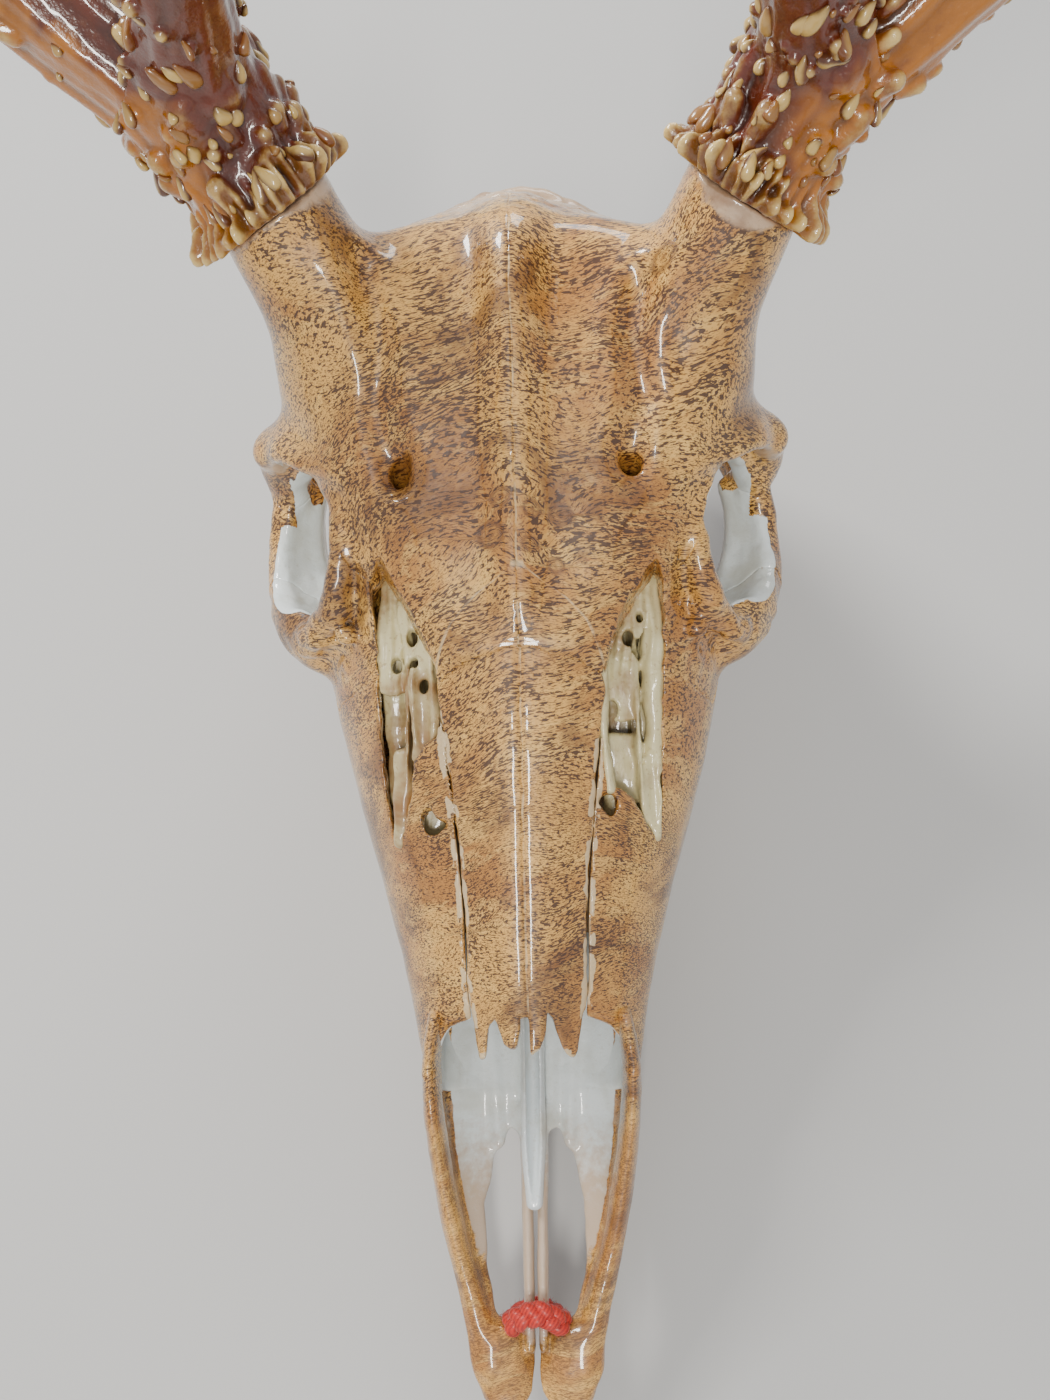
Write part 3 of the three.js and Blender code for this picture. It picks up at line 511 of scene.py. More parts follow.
skull = Block((-74, -97, -3), (74, 138, 146), 1.2)
for table, above, blend in ((FACE, 2, 0), (FRONTAL, 2.8, 6), (BRAINCASE, 2, 6), (SKULL_BASE, 2, 5)):
    skull.join(loft(table, above), blend)
skull.join(bar(MID_RIDGE), 5)
skull.join(bar(NUCHAL_CREST, steps=18), 4)
for side in (1, -1):
    pedicle = [
        [*(np.array(PEDICLE["base"]) - (6, 8, 16)), 16.3, 16.9],
        [*PEDICLE["base"], 14.6, 14.3],
        [*PEDICLE["top"], 13, 13],
        [*PEDICLE["past"], 13, 13],
    ]
    skull.join(bar(sided(side, pedicle)), 9)
    skull.join(ball((side * CHEEK_BOWL[0][0], *CHEEK_BOWL[0][1:]), CHEEK_BOWL[1]), 4)
    skull.join(bar(sided(side, ARCH)), 2.5)
    skull.join(bar(sided(side, BACK_BAR), (0, 1, 0)), 2.5)
    skull.join(bar(sided(side, POSTORBITAL)), 4)
    skull.join(ball((side * 43, 86, 58.5), (10, 9, 5)), 4)
    skull.join(ball((side * 24, 95, 34), (8.5, 12, 9)), 2)
    skull.join(bar(sided(side, EAR_TUBE)), 2)
    skull.join(ball((side * 34, 104, 58), (7, 11, 17)), 4)
    skull.join(ball((side * 13, 125, 47), (8.5, 10, 13)), 2)
    skull.join(bar(sided(side, EAR_SPUR), (0, 1, 0)), 3)
    skull.join(orbit_rim(side), 3.5)

hollow = Block((-74, -97, -3), (74, 138, 146), 1.2)
for table in (NOSE_CAVITY, PALATE_VAULT, CHOANA):
    hollow.join(loft(table), 0)
for side in (1, -1):
    for shape in orbit_hollows(side):
        hollow.join(shape, 2)
skull.value = soft_high(skull.value, -hollow.value, 1)
for side in (1, -1):
    skull.join(bar(sided(side, WING)), 2)
    for centre, radii in LACRIMAL_KNOBS:
        skull.join(ball((side * centre[0], *centre[1:]), radii), 1.5)
x, y, z = skull.open()
skull.value = soft_high(skull.value, -flat_reach(NOSE_OPENING, y, z), 1.5)

skull = skull.finer(2)

# Fine forms on the roof, as [x, y, height, spread across, spread along]
x, y, z = skull.open()
ROOF_FORMS = [
    [-0.3, 76, 1.5, 3.6, 7], [-0.4, 62, 0.7, 2.6, 9], [-14, 68, -1.5, 8, 9], [14, 66, -1.4, 8, 10],
    [-26, 33, -2.2, 3.4, 3.6], [25.6, 34, -2.0, 3.4, 4.2], [-36, 64, 1.1, 5, 6], [37, 63, 0.8, 5, 7],
    [-38, 51, -0.9, 4, 4], [35, 56, -1.2, 4.5, 4.5], [-41, 40, 0.9, 4, 5], [40, 41, 0.8, 4, 5],
    [0, 28, -0.7, 12, 12], [-20, 14, 0.5, 6, 8], [20, 14, 0.5, 6, 8], [31, 47, -0.9, 3.4, 2.6],
]
GROOVES = {
    -1: [(-26, 33), (-28.9, 41.6), (-29.8, 47.6), (-29.1, 53.3), (-29.4, 59.2), (-30.6, 65.5), (-32.3, 71)],
    1: [(25.3, 36), (26.3, 41.9), (27.7, 47.7), (27, 53.4), (26.2, 59.2), (28.2, 67.6)],
}
relief = np.zeros((x.size, y.size, 1), np.float32)
for cx, cy, height, wide, long in ROOF_FORMS:
    relief += height * np.exp(-(((x - cx) / wide) ** 2) / 2 - (((y - cy) / long) ** 2) / 2)
for route in GROOVES.values():
    away = np.full((x.size, y.size, 1), 99, np.float32)
    for (ax, ay), (bx, by) in zip(route, route[1:]):
        rx, ry = bx - ax, by - ay
        t = np.clip(((x - ax) * rx + (y - ay) * ry) / (rx * rx + ry * ry), 0, 1)
        away = np.minimum(away, np.hypot(x - ax - rx * t, y - ay - ry * t))
    relief += 0.7 * np.exp(-(((away - 5.5) / 2.2) ** 2) / 2) - 1.9 * np.exp(-((away / 2.5) ** 2) / 2)
skull.value -= relief * ramp(z, 86, 96)

# Dry bone is never quite smooth: broad swellings, fine bumps, and a coarse grain on the dome,
# round the eyes and at the foot of the antlers
skull.value -= 0.34 * roughness(skull.axes, 9, 1) + 0.1 * roughness(skull.axes, 3.2, 2)
coarse_grain = ramp(y, 84, 96) * ramp(z, 88, 104)
COARSE_SPOTS = [((47, 8, 74), 13, 1), ((55, 32, 66), 14, 0.5), ((48, 79, 130), 12, 0.5)]
for side in (1, -1):
    for (cx, cy, cz), radius, share in COARSE_SPOTS:
        away = np.sqrt((x - side * cx) ** 2 + (y - cy) ** 2 + (z - cz) ** 2)
        coarse_grain = np.maximum(coarse_grain, share * ramp(-away, -radius, -radius * 0.5))
skull.value -= coarse_grain * (0.6 * roughness(skull.axes, 1.8, 3) + 0.4 * roughness(skull.axes, 4, 4))
for side in (1, -1):
    low, high, reach = orbit_rim(side)
    cut = skull.window(low, high, 3)
    rim = ramp(-reach(*skull.open(cut)), -3, 0)
    ragged = roughness([a[c] for a, c in zip(skull.axes, cut)], 2.6, 5 + side)
    skull.value[cut] -= 0.55 * rim * ragged

# Openings with a clean edge
for side in (1, -1):
    for outline, ragged in ((VACUITY[side], 0.5), (BROKEN_HOLE[side], 1.1)):
        low, high, reach = plan(outline, 50, 130)
        cut = skull.window(low, high, 4)
        edge = ragged * roughness([a[c] for a, c in zip(skull.axes, cut)], 1.6, 15 + side)
        skull.value[cut] = soft_high(skull.value[cut], -reach(*skull.open(cut)) - edge, 0.6)
    skull.cut(bar([[side * 26, 33, 100, 2.3, 2.3], [side * 25, 37, 118, 2.5, 2.5]], (0, 1, 0), 2), 1)
    skull.cut(above_pedicle(side), 0.5)
skull.cut(bar([[0, 108, 52, 9, 9], [0, 150, 52, 9.5, 9]], steps=2), 1.5)
skull.value = np.maximum(skull.value, -z)

# Nasal bones: two long plates, crowned across, as [y, half width, top, drop to the edge], and the
# notches between their prongs
NASALS = [
    [-86, 12.2, 59.5, 6.5], [-70, 13.8, 67, 6.5], [-54, 14.3, 74.3, 6.2], [-35, 16, 82, 6],
    [-20, 17.8, 88.6, 6], [-8, 19.2, 93.8, 6], [2, 15.4, 98, 3.6], [8, 9, 100.2, 1.4],
    [12.6, 1.2, 101.8, 0.2],
]
NOTCHES = {
    -1: [
        [(-17, -95), (-17, -76.5), (-15.5, -76.6), (-13.4, -80.5), (-11.6, -85), (-9.8, -95)],
        [
            (-9.6, -95), (-9.7, -86), (-8.7, -79.5), (-7.3, -78.2), (-6.7, -80.5), (-5.6, -83.6),
            (-3.8, -85), (-3.4, -95),
        ],
        [(-4, -95), (-3.8, -85), (-2.5, -84.3), (-1.7, -81), (-1.5, -78.4), (1, -78.4), (1, -95)],
    ],
    1: [
        [(-2, -95), (-2, -78.4), (-1.5, -78.4), (-1.2, -82), (0, -85), (1.4, -95)],
        [
            (1.3, -95), (1.3, -85.6), (2.7, -84.8), (3.6, -82.6), (4.4, -77.2), (5.6, -78.4),
            (7.2, -83.4), (9.2, -86.6), (9.6, -95),
        ],
        [(9.6, -95), (9.8, -87), (10.9, -84.6), (12.4, -76.6), (17, -76.4), (17, -95)],
    ],
}


def nasal_outline(x, y):
    """How far a place lies outside the plan of the two nasal bones, below zero inside."""
    half = along(NASALS, y)[0]
    return np.maximum(np.maximum(np.abs(x) - half, -86 - y), (y - 12.6) * 0.5)


def nasal_plate(grow=0.0, thick=3.4):
    def reach(x, y, z):
        half, top, drop = along(NASALS, y)
        share = np.clip(np.abs(x) / half, 0, 1.4)
        crown = z - (top - drop * share * share)
        made = np.maximum(crown * 0.93 - grow, (-thick - crown) * 0.93)
        return np.maximum(made, nasal_outline(x, y) - grow)

    return [-20, -87, 50], [20, 14, 104], reach


skull.cut(nasal_plate(0.02, 7), 0)

# The bones part along the sutures, which wander a little on their way
x, y, z = skull.open()
FRONTAL_SIDE = [
    (-8, 150), (-8, 84), (10, 84), (22, 82), (30, 78), (44, 74), (56, 72), (68, 76), (86, 84),
    (93, 100), (97, 150),
]
FRONTAL_PLAN = [
    (-75, 28), (-41, 22), (-32, 13.5), (-24, 3), (-24, -9), (24, -9),
    (24, 3), (32, 13.5), (41, 22), (75, 28), (75, 110), (-75, 110),
]
LACRIMAL_SIDE = [(-4, 104), (-4, 62), (9, 57), (24, 58), (30, 66), (32, 76), (30, 104)]
ZYGOMATIC_SIDE = [(1, 61), (0, 46), (10, 40), (40, 42), (62, 46), (74, 52), (71, 64), (71, 84), (30, 84)]
UNDERLAP = 0.5  # how far a bone runs under the next one, in mm
wander = 0.55 * roughness(skull.axes, 2.4, 11) + 0.5 * roughness(skull.axes, 7, 12)
frontal_region = np.maximum(flat_reach(FRONTAL_SIDE, y, z), flat_reach(FRONTAL_PLAN, x, y)) + wander
lacrimal_region = np.maximum(flat_reach(LACRIMAL_SIDE, y, z), 24 - np.abs(x)) + wander
zygomatic_region = np.maximum(flat_reach(ZYGOMATIC_SIDE, y, z), 37 - np.abs(x)) + wander
behind = 16 - y + wander
midline = x + 0.4 * wander
temporal_region = np.maximum(np.maximum(27 - np.abs(x), z - 76), 58 - y) + wander
vault_region = 70 - z + wander


def bone_field(cut, own, *others):
    """Distances for one bone. It runs a little way under the bones beside it, sunk by a hair, and
    it is cut off where the bones that were taken first begin."""
    made = skull.value[cut]
    for region in own:
        edge = region[cut]
        made = np.maximum(made + 0.07 * ramp(edge, -0.7, -0.1), edge - UNDERLAP)
    for region in others:
        made = np.maximum(made, -region[cut])
    return made


def largest_body(points, faces):
    """Keeps the biggest closed body of a mesh of quads."""
    label = np.arange(len(points))
    starts, ends = faces.ravel(), np.roll(faces, -1, 1).ravel()
    while True:
        low = np.minimum(label[starts], label[ends])
        fresh = label.copy()
        np.minimum.at(fresh, label[starts], low)
        np.minimum.at(fresh, label[ends], low)
        fresh = fresh[fresh]
        fresh = fresh[fresh]
        if np.array_equal(fresh, label):
            break
        label = fresh
    names, counts = np.unique(label[faces[:, 0]], return_counts=True)
    kept = faces[label[faces[:, 0]] == names[counts.argmax()]]
    used, renumbered = np.unique(kept.ravel(), return_inverse=True)
    return points[used], renumbered.reshape(kept.shape)


def surface(value, axes, spacing):
    """Points in mm and quads of the surface that a block of distances holds."""
    value = np.pad(value, 1, constant_values=3.0)
    grid = openvdb.FloatGrid(3.0)
    grid.copyFromArray(np.clip(value, -3, 3).astype(np.float32))
    points, faces = grid.convertToQuads(isovalue=0.0)
    start = np.array([axis[0] for axis in axes], np.float32)
    return largest_body((points - 1) * spacing + start, faces.astype(np.int64))


def sample(field, axes, spacing, points):
    """Values of a block at any points, blended between the eight around each."""
    place = (points - [axis[0] for axis in axes]) / spacing
    place = np.clip(place, 0, np.array(field.shape) - 1.001)
    i = place.astype(int)
    f = place - i
    total = np.zeros(len(points), np.float32)
    for corner in np.ndindex(2, 2, 2):
        weight = np.prod(np.where(corner, f, 1 - f), 1)
        total += weight * field[tuple((i + corner).T)]
    return total


def make_piece(name, points, faces, material):
    """A finished object in metres from a mesh in mm."""
    mesh = bpy.data.meshes.new(name)
    mesh.vertices.add(len(points))
    places = (points + (0, TABLE_LIFT, 0)) / 1000
    mesh.vertices.foreach_set("co", places.astype(np.float32).ravel())
    sides = faces.shape[1]
    mesh.loops.add(faces.size)
    mesh.loops.foreach_set("vertex_index", faces.astype(np.int32).ravel())
    mesh.polygons.add(len(faces))
    mesh.polygons.foreach_set("loop_start", np.arange(0, faces.size, sides, dtype=np.int32))
    mesh.update(calc_edges=True)
    mesh.shade_smooth()
    mesh.materials.append(material)
    piece = bpy.data.objects.new(name, mesh)
    bpy.context.scene.collection.objects.link(piece)
    return piece


def broad_bend(value, axes, spacing, skip=2):
    """Blurred distances: on the surface they are positive on edges and negative in hollows."""
    rows = [axis[::skip] for axis in axes]
    made = np.clip(value[::skip, ::skip, ::skip], -4, 4)
    for _ in range(3):
        made = spread(made, rows, rows)
    return made, rows, spacing * skip


skull_bend = broad_bend(skull.value, skull.axes, skull.spacing)
KNOTS = [  # in the printed wood, as (x, y, radius)
    (-3.2, 26, 3.2), (3.6, 23.6, 2.8), (9.8, 23.0, 3.6), (-5.6, 19, 4.2), (3, 16.6, 2.6),
    (8.6, 13, 2.6), (-14, -60, 3), (33, 70, 3.4), (-36, 12, 3),
]


def soft_noise(points, grain, seed):
    """Random swellings at free points, from a few crossed waves."""
    draws = np.random.default_rng(seed)
    total = np.zeros(len(points), np.float32)
    for _ in range(9):
        way = draws.normal(size=3)
        way /= np.linalg.norm(way)
        speed = 2 * math.pi / (grain * draws.uniform(1.1, 2.6))
        total += np.sin(points @ way * speed + draws.uniform(0, 2 * math.pi))
    return total / 3


def film_marks(points, normals):
    """Where the film lies and how its grain runs: it was laid from above, so it thins out on
    faces that look down, and it flows round its knots."""
    px, py, pz = points.T
    flow = py - 0.32 * px * ramp(-px, -6, 10) - 0.1 * px * ramp(px, 6, 20)
    flow = flow + 3.4 * soft_noise(points, 34, 21) + 0.9 * soft_noise(points, 11, 22)
    drift = px + 3 * soft_noise(points, 40, 23)
    rings = np.zeros(len(points), np.float32)
    for kx, ky, radius in KNOTS:
        away = np.hypot(px - kx, (py - ky) * 1.15)
        bulge = np.exp(-((away / (radius * 1.5)) ** 2))
        flow = flow + np.where(py > ky, 1.0, -1.0) * radius * 0.9 * bulge * ramp(away, 0, radius)
        wave = 0.5 + 0.5 * np.cos(2 * math.pi * (away / radius * 1.6))
        rings = np.maximum(rings, wave * ramp(-away, -radius * 1.25, -radius * 0.8) * ramp(pz, 60, 80))
    cover = ramp(normals[:, 2] + 0.25 * soft_noise(points, 16, 24), -0.75, 0.1)
    cover *= np.maximum(ramp(pz + 5 * soft_noise(points, 20, 25), 14, 40), ramp(-py, 92, 104))
    for side in (1, -1):
        top = np.array(PEDICLE["top"]) * (side, 1, 1)
        short = (points - top) @ (BEAM_FOOT * (side, 1, 1))
        near = np.linalg.norm(points - top, axis=1) < 34
        cover = np.where(near, cover * ramp(-short + 2 * soft_noise(points, 9, 26), -2, 5), cover)
    dome = ramp(py + 3 * soft_noise(points, 12, 27), 84, 96)
    cover *= 1 - 0.75 * dome
    outline = nasal_outline(px, py)
    torn = ramp(-np.abs(outline), -2.2, -0.7) * ramp(-py, 8, 20) * ramp(-py, -88, -80)
    torn *= ramp(soft_noise(points, 6, 28) + 0.6 * soft_noise(points, 2.4, 29), -0.7, 0.3)
    return {
        "grain": np.stack([drift, flow, pz], 1) / 1000,
        "knot": rings,
        "film": cover,
        "fine": ramp(-py, 20, 50),
        "torn": torn * ramp(pz, 50, 56),
        "snout": ramp(-py, 92, 104),
    }


def white_marks(points):
    """Insides of the eye sockets and the nose, where only the pale base coat shows."""
    px, py, pz = points.T
    inside = np.full(len(points), FAR, np.float32)
    for side in (1, -1):
        for low, high, reach in orbit_hollows(side):
            inside = np.minimum(inside, reach(px, py, pz))
    inside += 9 * ramp(np.abs(px), 58, 59) * ramp(py, 44, 45.5)
    nose = loft(NOSE_CAVITY)[2](px, py, pz) + 9 * ramp(py + 0.2 * pz, -50, -38)
    inside = np.minimum(inside, nose)
    return ramp(-inside, -1.5, -0.5)


def mark_piece(piece, marks):
    """Gives each point of a piece the values that its material reads."""
    for label, values in marks.items():
        kind = "FLOAT_VECTOR" if values.ndim == 2 else "FLOAT"
        layer = piece.data.attributes.new(label, kind, "POINT")
        part = "vector" if values.ndim == 2 else "value"
        layer.data.foreach_set(part, values.astype(np.float32).ravel())


def normals_of(piece):
    found = np.empty(len(piece.data.vertices) * 3, np.float32)
    piece.data.vertex_normals.foreach_get("vector", found)
    return found.reshape(-1, 3)


def settle(piece, nodes):
    """Attaches a finished piece to the root body and hides the parts of the model that it stands for."""
    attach(piece, "root")
    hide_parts(*nodes)


def bone_piece(name, field, axes, spacing, material, bend, white, middle):
    points, faces = surface(field, axes, spacing)
    piece = make_piece(name, points, faces, material)
    marks = film_marks(points, normals_of(piece))
    marks["white"] = white(points)
    marks["bend"] = sample(*bend, points)
    outline = nasal_outline(points[:, 0], points[:, 1])
    marks["seam"] = np.stack([sample(middle, axes, spacing, points), outline, points[:, 2]], 1)
    mark_piece(piece, marks)
    return piece


def skull_bone(name, own, others, low, high, material):
    cut = skull.window(low, high)
    field = bone_field(cut, own, *others)
    axes = [a[c] for a, c in zip(skull.axes, cut)]
    return bone_piece(name, field, axes, skull.spacing, material, skull_bend, white_marks, midline[cut])


# Materials of the dipped bone. One group lays the printed wood, one gives the bone its stains and its
# painted shade in hollows.
def put(tree, kind, feeds=None, **settings):
    """Adds a node, sets what it is told and feeds its sockets with values or other sockets."""
    made = tree.nodes.new(kind)
    for label, value in settings.items():
        setattr(made, label, value)
    for label, value in (feeds or {}).items():
        socket = made.inputs[label]
        if isinstance(value, bpy.types.NodeSocket):
            tree.links.new(value, socket)
        else:
            socket.default_value = value
    return made


def paint(tree, low, high, share):
    """Blends two colours. Mix keeps its factor in socket 0 and its colours in 6 and 7."""
    return put(tree, "ShaderNodeMix", {0: share, 6: low, 7: high}, data_type="RGBA").outputs[2]


def sums(tree, way, a, b=0.0):
    return put(tree, "ShaderNodeMath", {0: a, 1: b}, operation=way).outputs[0]


def times(tree, a, b):
    return sums(tree, "MULTIPLY", a, b)


def plus(tree, a, b):
    return sums(tree, "ADD", a, b)


def vectors(tree, way, feeds):
    return put(tree, "ShaderNodeVectorMath", feeds, operation=way).outputs[0]


def swing(tree, noise, size):
    """A noise moved to lie round zero and made larger or smaller."""
    return times(tree, sums(tree, "SUBTRACT", noise, 0.5), size)


def steps_between(tree, value, start, end, low=0.0, high=1.0):
    feeds = {"Value": value, "From Min": start, "From Max": end, "To Min": low, "To Max": high}
    return put(tree, "ShaderNodeMapRange", feeds, interpolation_type="SMOOTHSTEP").outputs["Result"]


def speckle(tree, place, scale, detail=2.0, rough=0.5, warp=0.0):
    feeds = {"Vector": place, "Scale": scale, "Detail": detail, "Roughness": rough, "Distortion": warp}
    return put(tree, "ShaderNodeTexNoise", feeds).outputs["Fac"]


def mark_field(tree, name):
    made = put(tree, "GeometryNodeInputNamedAttribute", {"Name": name}, data_type="FLOAT")
    return made.outputs["Attribute"]


def mark(tree, name, output="Fac"):
    made = put(tree, "ShaderNodeAttribute", attribute_name=name)
    return made.outputs[output]


def srgb(red, green, blue):
    """The linear colour of three screen values from 0 to 255."""
    shares = [v / 255 for v in (red, green, blue)]
    linear = [v / 12.92 if v <= 10 / 255 else ((v + 0.055) / 1.055) ** 2.4 for v in shares]
    return (*linear, 1)


def new_skin(name):
    """A material with its tree and its shader."""
    made = bpy.data.materials.new(name)
    made.use_nodes = True
    return made, made.node_tree, made.node_tree.nodes["Principled BSDF"]


def finish_skin(tree, shader, color, height, bump, gloss):
    """Joins colour and relief to a shader. The bump is a strength and a depth in metres, the gloss
    is the roughness, then the weight and roughness of the clear coat."""
    tree.links.new(color, shader.inputs["Base Color"])
    if height:
        feeds = {"Height": height, "Strength": bump[0], "Distance": bump[1]}
        tree.links.new(put(tree, "ShaderNodeBump", feeds).outputs["Normal"], shader.inputs["Normal"])
    for label, value in zip(("Roughness", "Coat Weight", "Coat Roughness"), gloss):
        shader.inputs[label].default_value = value


def bone_tones(tree, pale, stain, dirt):
    """The bone group of stains and painted shade in hollows, with its colours set."""
    made = put(tree, "ShaderNodeGroup", node_tree=bone_group)
    made.inputs["Pale"].default_value = pale
    made.inputs["Stain"].default_value = stain
    made.inputs["Dirt"].default_value = dirt
    return made


def new_group(name, kind, inputs, outputs):
    """A node group with named sockets. Gives the group and its input node's sockets."""
    made = bpy.data.node_groups.new(name, kind)
    for label, socket in inputs:
        made.interface.new_socket(label, in_out="INPUT", socket_type="NodeSocket" + socket)
    for label, socket in outputs:
        made.interface.new_socket(label, in_out="OUTPUT", socket_type="NodeSocket" + socket)
    return made, made.nodes.new("NodeGroupInput").outputs


inputs = [("Fleck Size", "Float"), ("Smoke", "Float")]
outputs = [("Color", "Color"), ("Flecks", "Float")]
film_group, given = new_group("printed_wood", "ShaderNodeTree", inputs, outputs)
tree = film_group
grain = mark(tree, "grain", "Vector")
squeezed = vectors(tree, "MULTIPLY", {0: grain, 1: (500, 2100, 1400)})
sized = vectors(tree, "SCALE", {0: squeezed, "Scale": given["Fleck Size"]})
dashes = speckle(tree, sized, 1.0, 2, 0.55, 0.45)
crowd = speckle(tree, grain, 70, 3, 0.6)
limit = steps_between(tree, crowd, 0.35, 0.65, 0.555, 0.475)
flecks = steps_between(tree, sums(tree, "SUBTRACT", dashes, limit), -0.01, 0.045)
tiny = steps_between(tree, speckle(tree, sized, 2.3, 1, 0.5), 0.52, 0.64)
broad_tone = steps_between(tree, speckle(tree, grain, 30, 4, 0.6, 0.5), 0.4, 0.6)
middle_tone = speckle(tree, squeezed, 0.09, 4, 0.65, 0.6)
wood = paint(tree, srgb(232, 176, 86), srgb(184, 124, 52), broad_tone)
light_patch = times(tree, steps_between(tree, middle_tone, 0.5, 0.62), 0.5)
wood = paint(tree, wood, srgb(244, 196, 106), light_patch)
smoke_place = speckle(tree, grain, 46, 4, 0.65, 0.7)
smoke = times(tree, steps_between(tree, smoke_place, 0.5, 0.66), given["Smoke"])
wood = paint(tree, wood, srgb(112, 68, 28), smoke)
wood = paint(tree, wood, srgb(96, 54, 22), times(tree, mark(tree, "knot"), 0.75))
wood = paint(tree, wood, srgb(108, 62, 28), times(tree, tiny, 0.7))
fleck_share = times(tree, flecks, steps_between(tree, mark(tree, "snout"), 0, 1, 0.95, 0.6))
wood = paint(tree, wood, srgb(66, 35, 13), fleck_share)
result = tree.nodes.new("NodeGroupOutput")
tree.links.new(wood, result.inputs["Color"])
tree.links.new(flecks, result.inputs["Flecks"])

inputs = [("Pale", "Color"), ("Stain", "Color"), ("Dirt", "Float")]
outputs = [("Color", "Color"), ("Height", "Float")]
bone_group, given = new_group("stained_bone", "ShaderNodeTree", inputs, outputs)
tree = bone_group
place = put(tree, "ShaderNodeTexCoord").outputs["Object"]
patches = speckle(tree, place, 55, 4, 0.6, 0.5)
pores = speckle(tree, place, 900, 2, 0.6)
streaks = vectors(tree, "MULTIPLY", {0: place, 1: (700, 160, 500)})
fibres = speckle(tree, streaks, 1, 2, 0.6)
tone = paint(tree, given["Pale"], given["Stain"], steps_between(tree, patches, 0.42, 0.7))
stained_pores = times(tree, steps_between(tree, pores, 0.58, 0.7), 0.4)
tone = paint(tree, tone, given["Stain"], stained_pores)
# Painted shade: the hollows are darkened towards dark brown, as far as the group's input share asks.
painted_hollow_shade = steps_between(tree, mark(tree, "bend"), -0.1, -1.2)
tone = paint(tree, tone, srgb(92, 66, 44), times(tree, painted_hollow_shade, given["Dirt"]))
result = tree.nodes.new("NodeGroupOutput")
tree.links.new(tone, result.inputs["Color"])
tree.links.new(plus(tree, times(tree, pores, 0.5), fibres), result.inputs["Height"])


def dipped(name, smoke=0.75, wear=0.35, coat=0.06):
    """Bone with a pale base coat, a printed wood film and a clear coat."""
    made, tree, shader = new_skin(name)
    film = put(tree, "ShaderNodeGroup", node_tree=film_group)
    size = steps_between(tree, mark(tree, "fine"), 0, 1, 1.0, 1.45)
    tree.links.new(size, film.inputs["Fleck Size"])
    film.inputs["Smoke"].default_value = smoke
    base = bone_tones(tree, srgb(206, 176, 144), srgb(156, 120, 88), 0.6)
    white = bone_tones(tree, srgb(226, 233, 232), srgb(204, 207, 198), 0.5)
    place = put(tree, "ShaderNodeTexCoord").outputs["Object"]
    worn = speckle(tree, place, 420, 3, 0.6)

    # The film, rubbed away on high places, and browned in hollows by painted shade
    high_places = steps_between(tree, mark(tree, "bend"), 0.5, 1.3)
    rubbed = times(tree, times(tree, high_places, steps_between(tree, worn, 0.45, 0.6)), wear)
    ragged = plus(tree, mark(tree, "film"), swing(tree, worn, 1.1))
    cover = times(tree, steps_between(tree, ragged, 0.25, 0.75), sums(tree, "SUBTRACT", 1.0, rubbed))
    color = paint(tree, base.outputs["Color"], film.outputs["Color"], cover)
    # Painted shade: the hollows are darkened towards dark brown
    hollow_shade_share = steps_between(tree, mark(tree, "bend"), -0.2, -1.4, 0, 0.55)
    color = paint(tree, color, srgb(84, 56, 34), hollow_shade_share)

    # Sutures: pale broken lines along the midline and round the nasal bones, painted as highlights
    parts = put(tree, "ShaderNodeSeparateXYZ", {0: mark(tree, "seam", "Vector")}).outputs
    on_top = steps_between(tree, parts[2], 50, 56)
    middle_line = steps_between(tree, sums(tree, "ABSOLUTE", parts[0]), 0.34, 0.1)
    outer_line = steps_between(tree, sums(tree, "ABSOLUTE", parts[1]), 0.5, 0.15)
    lines = times(tree, sums(tree, "MAXIMUM", middle_line, outer_line), on_top)
    broken_glints = steps_between(tree, speckle(tree, place, 160, 3, 0.6), 0.42, 0.6)
    # Painted highlight: the suture lines are lightened as if they caught the light
    color = paint(tree, color, srgb(226, 196, 148), times(tree, times(tree, lines, broken_glints), 0.6))
    torn_edge = plus(tree, mark(tree, "torn"), swing(tree, worn, 1.2))
    torn_edge = steps_between(tree, torn_edge, 0.5, 0.7)
    color = paint(tree, color, srgb(220, 194, 150), times(tree, torn_edge, 0.85))

    # White insides, which turn to beige towards the tip of the snout
    ragged = plus(tree, mark(tree, "white"), swing(tree, worn, 0.8))
    whiteness = steps_between(tree, ragged, 0.4, 0.6)
    lengthways = put(tree, "ShaderNodeSeparateXYZ", {0: place}).outputs[1]
    turning = plus(tree, lengthways, swing(tree, worn, 0.03))
    browning = steps_between(tree, turning, -0.082, -0.104, 0, 0.85)
    pale = paint(tree, white.outputs["Color"], srgb(190, 160, 128), browning)
    color = paint(tree, color, pale, whiteness)

    # Relief: fine bone under an uneven coat, a little lower at the flecks and higher on sutures
    peel = speckle(tree, place, 260, 2, 0.5)
    height = plus(tree, times(tree, base.outputs["Height"], 0.25), peel)
    height = sums(tree, "SUBTRACT", height, times(tree, film.outputs["Flecks"], 0.12))
    height = plus(tree, height, times(tree, lines, 0.5))
    finish_skin(tree, shader, color, height, (0.35, 0.0006), (0.42, 0.9, coat))
    return made


frontal_film = dipped("film_on_forehead")
face_film = dipped("film_on_face")
nasal_film = dipped("film_on_nose", wear=0.15)
snout_film = dipped("film_on_snout", wear=0.5)
braincase_film = dipped("film_on_braincase", smoke=0.9, wear=0.7, coat=0.1)

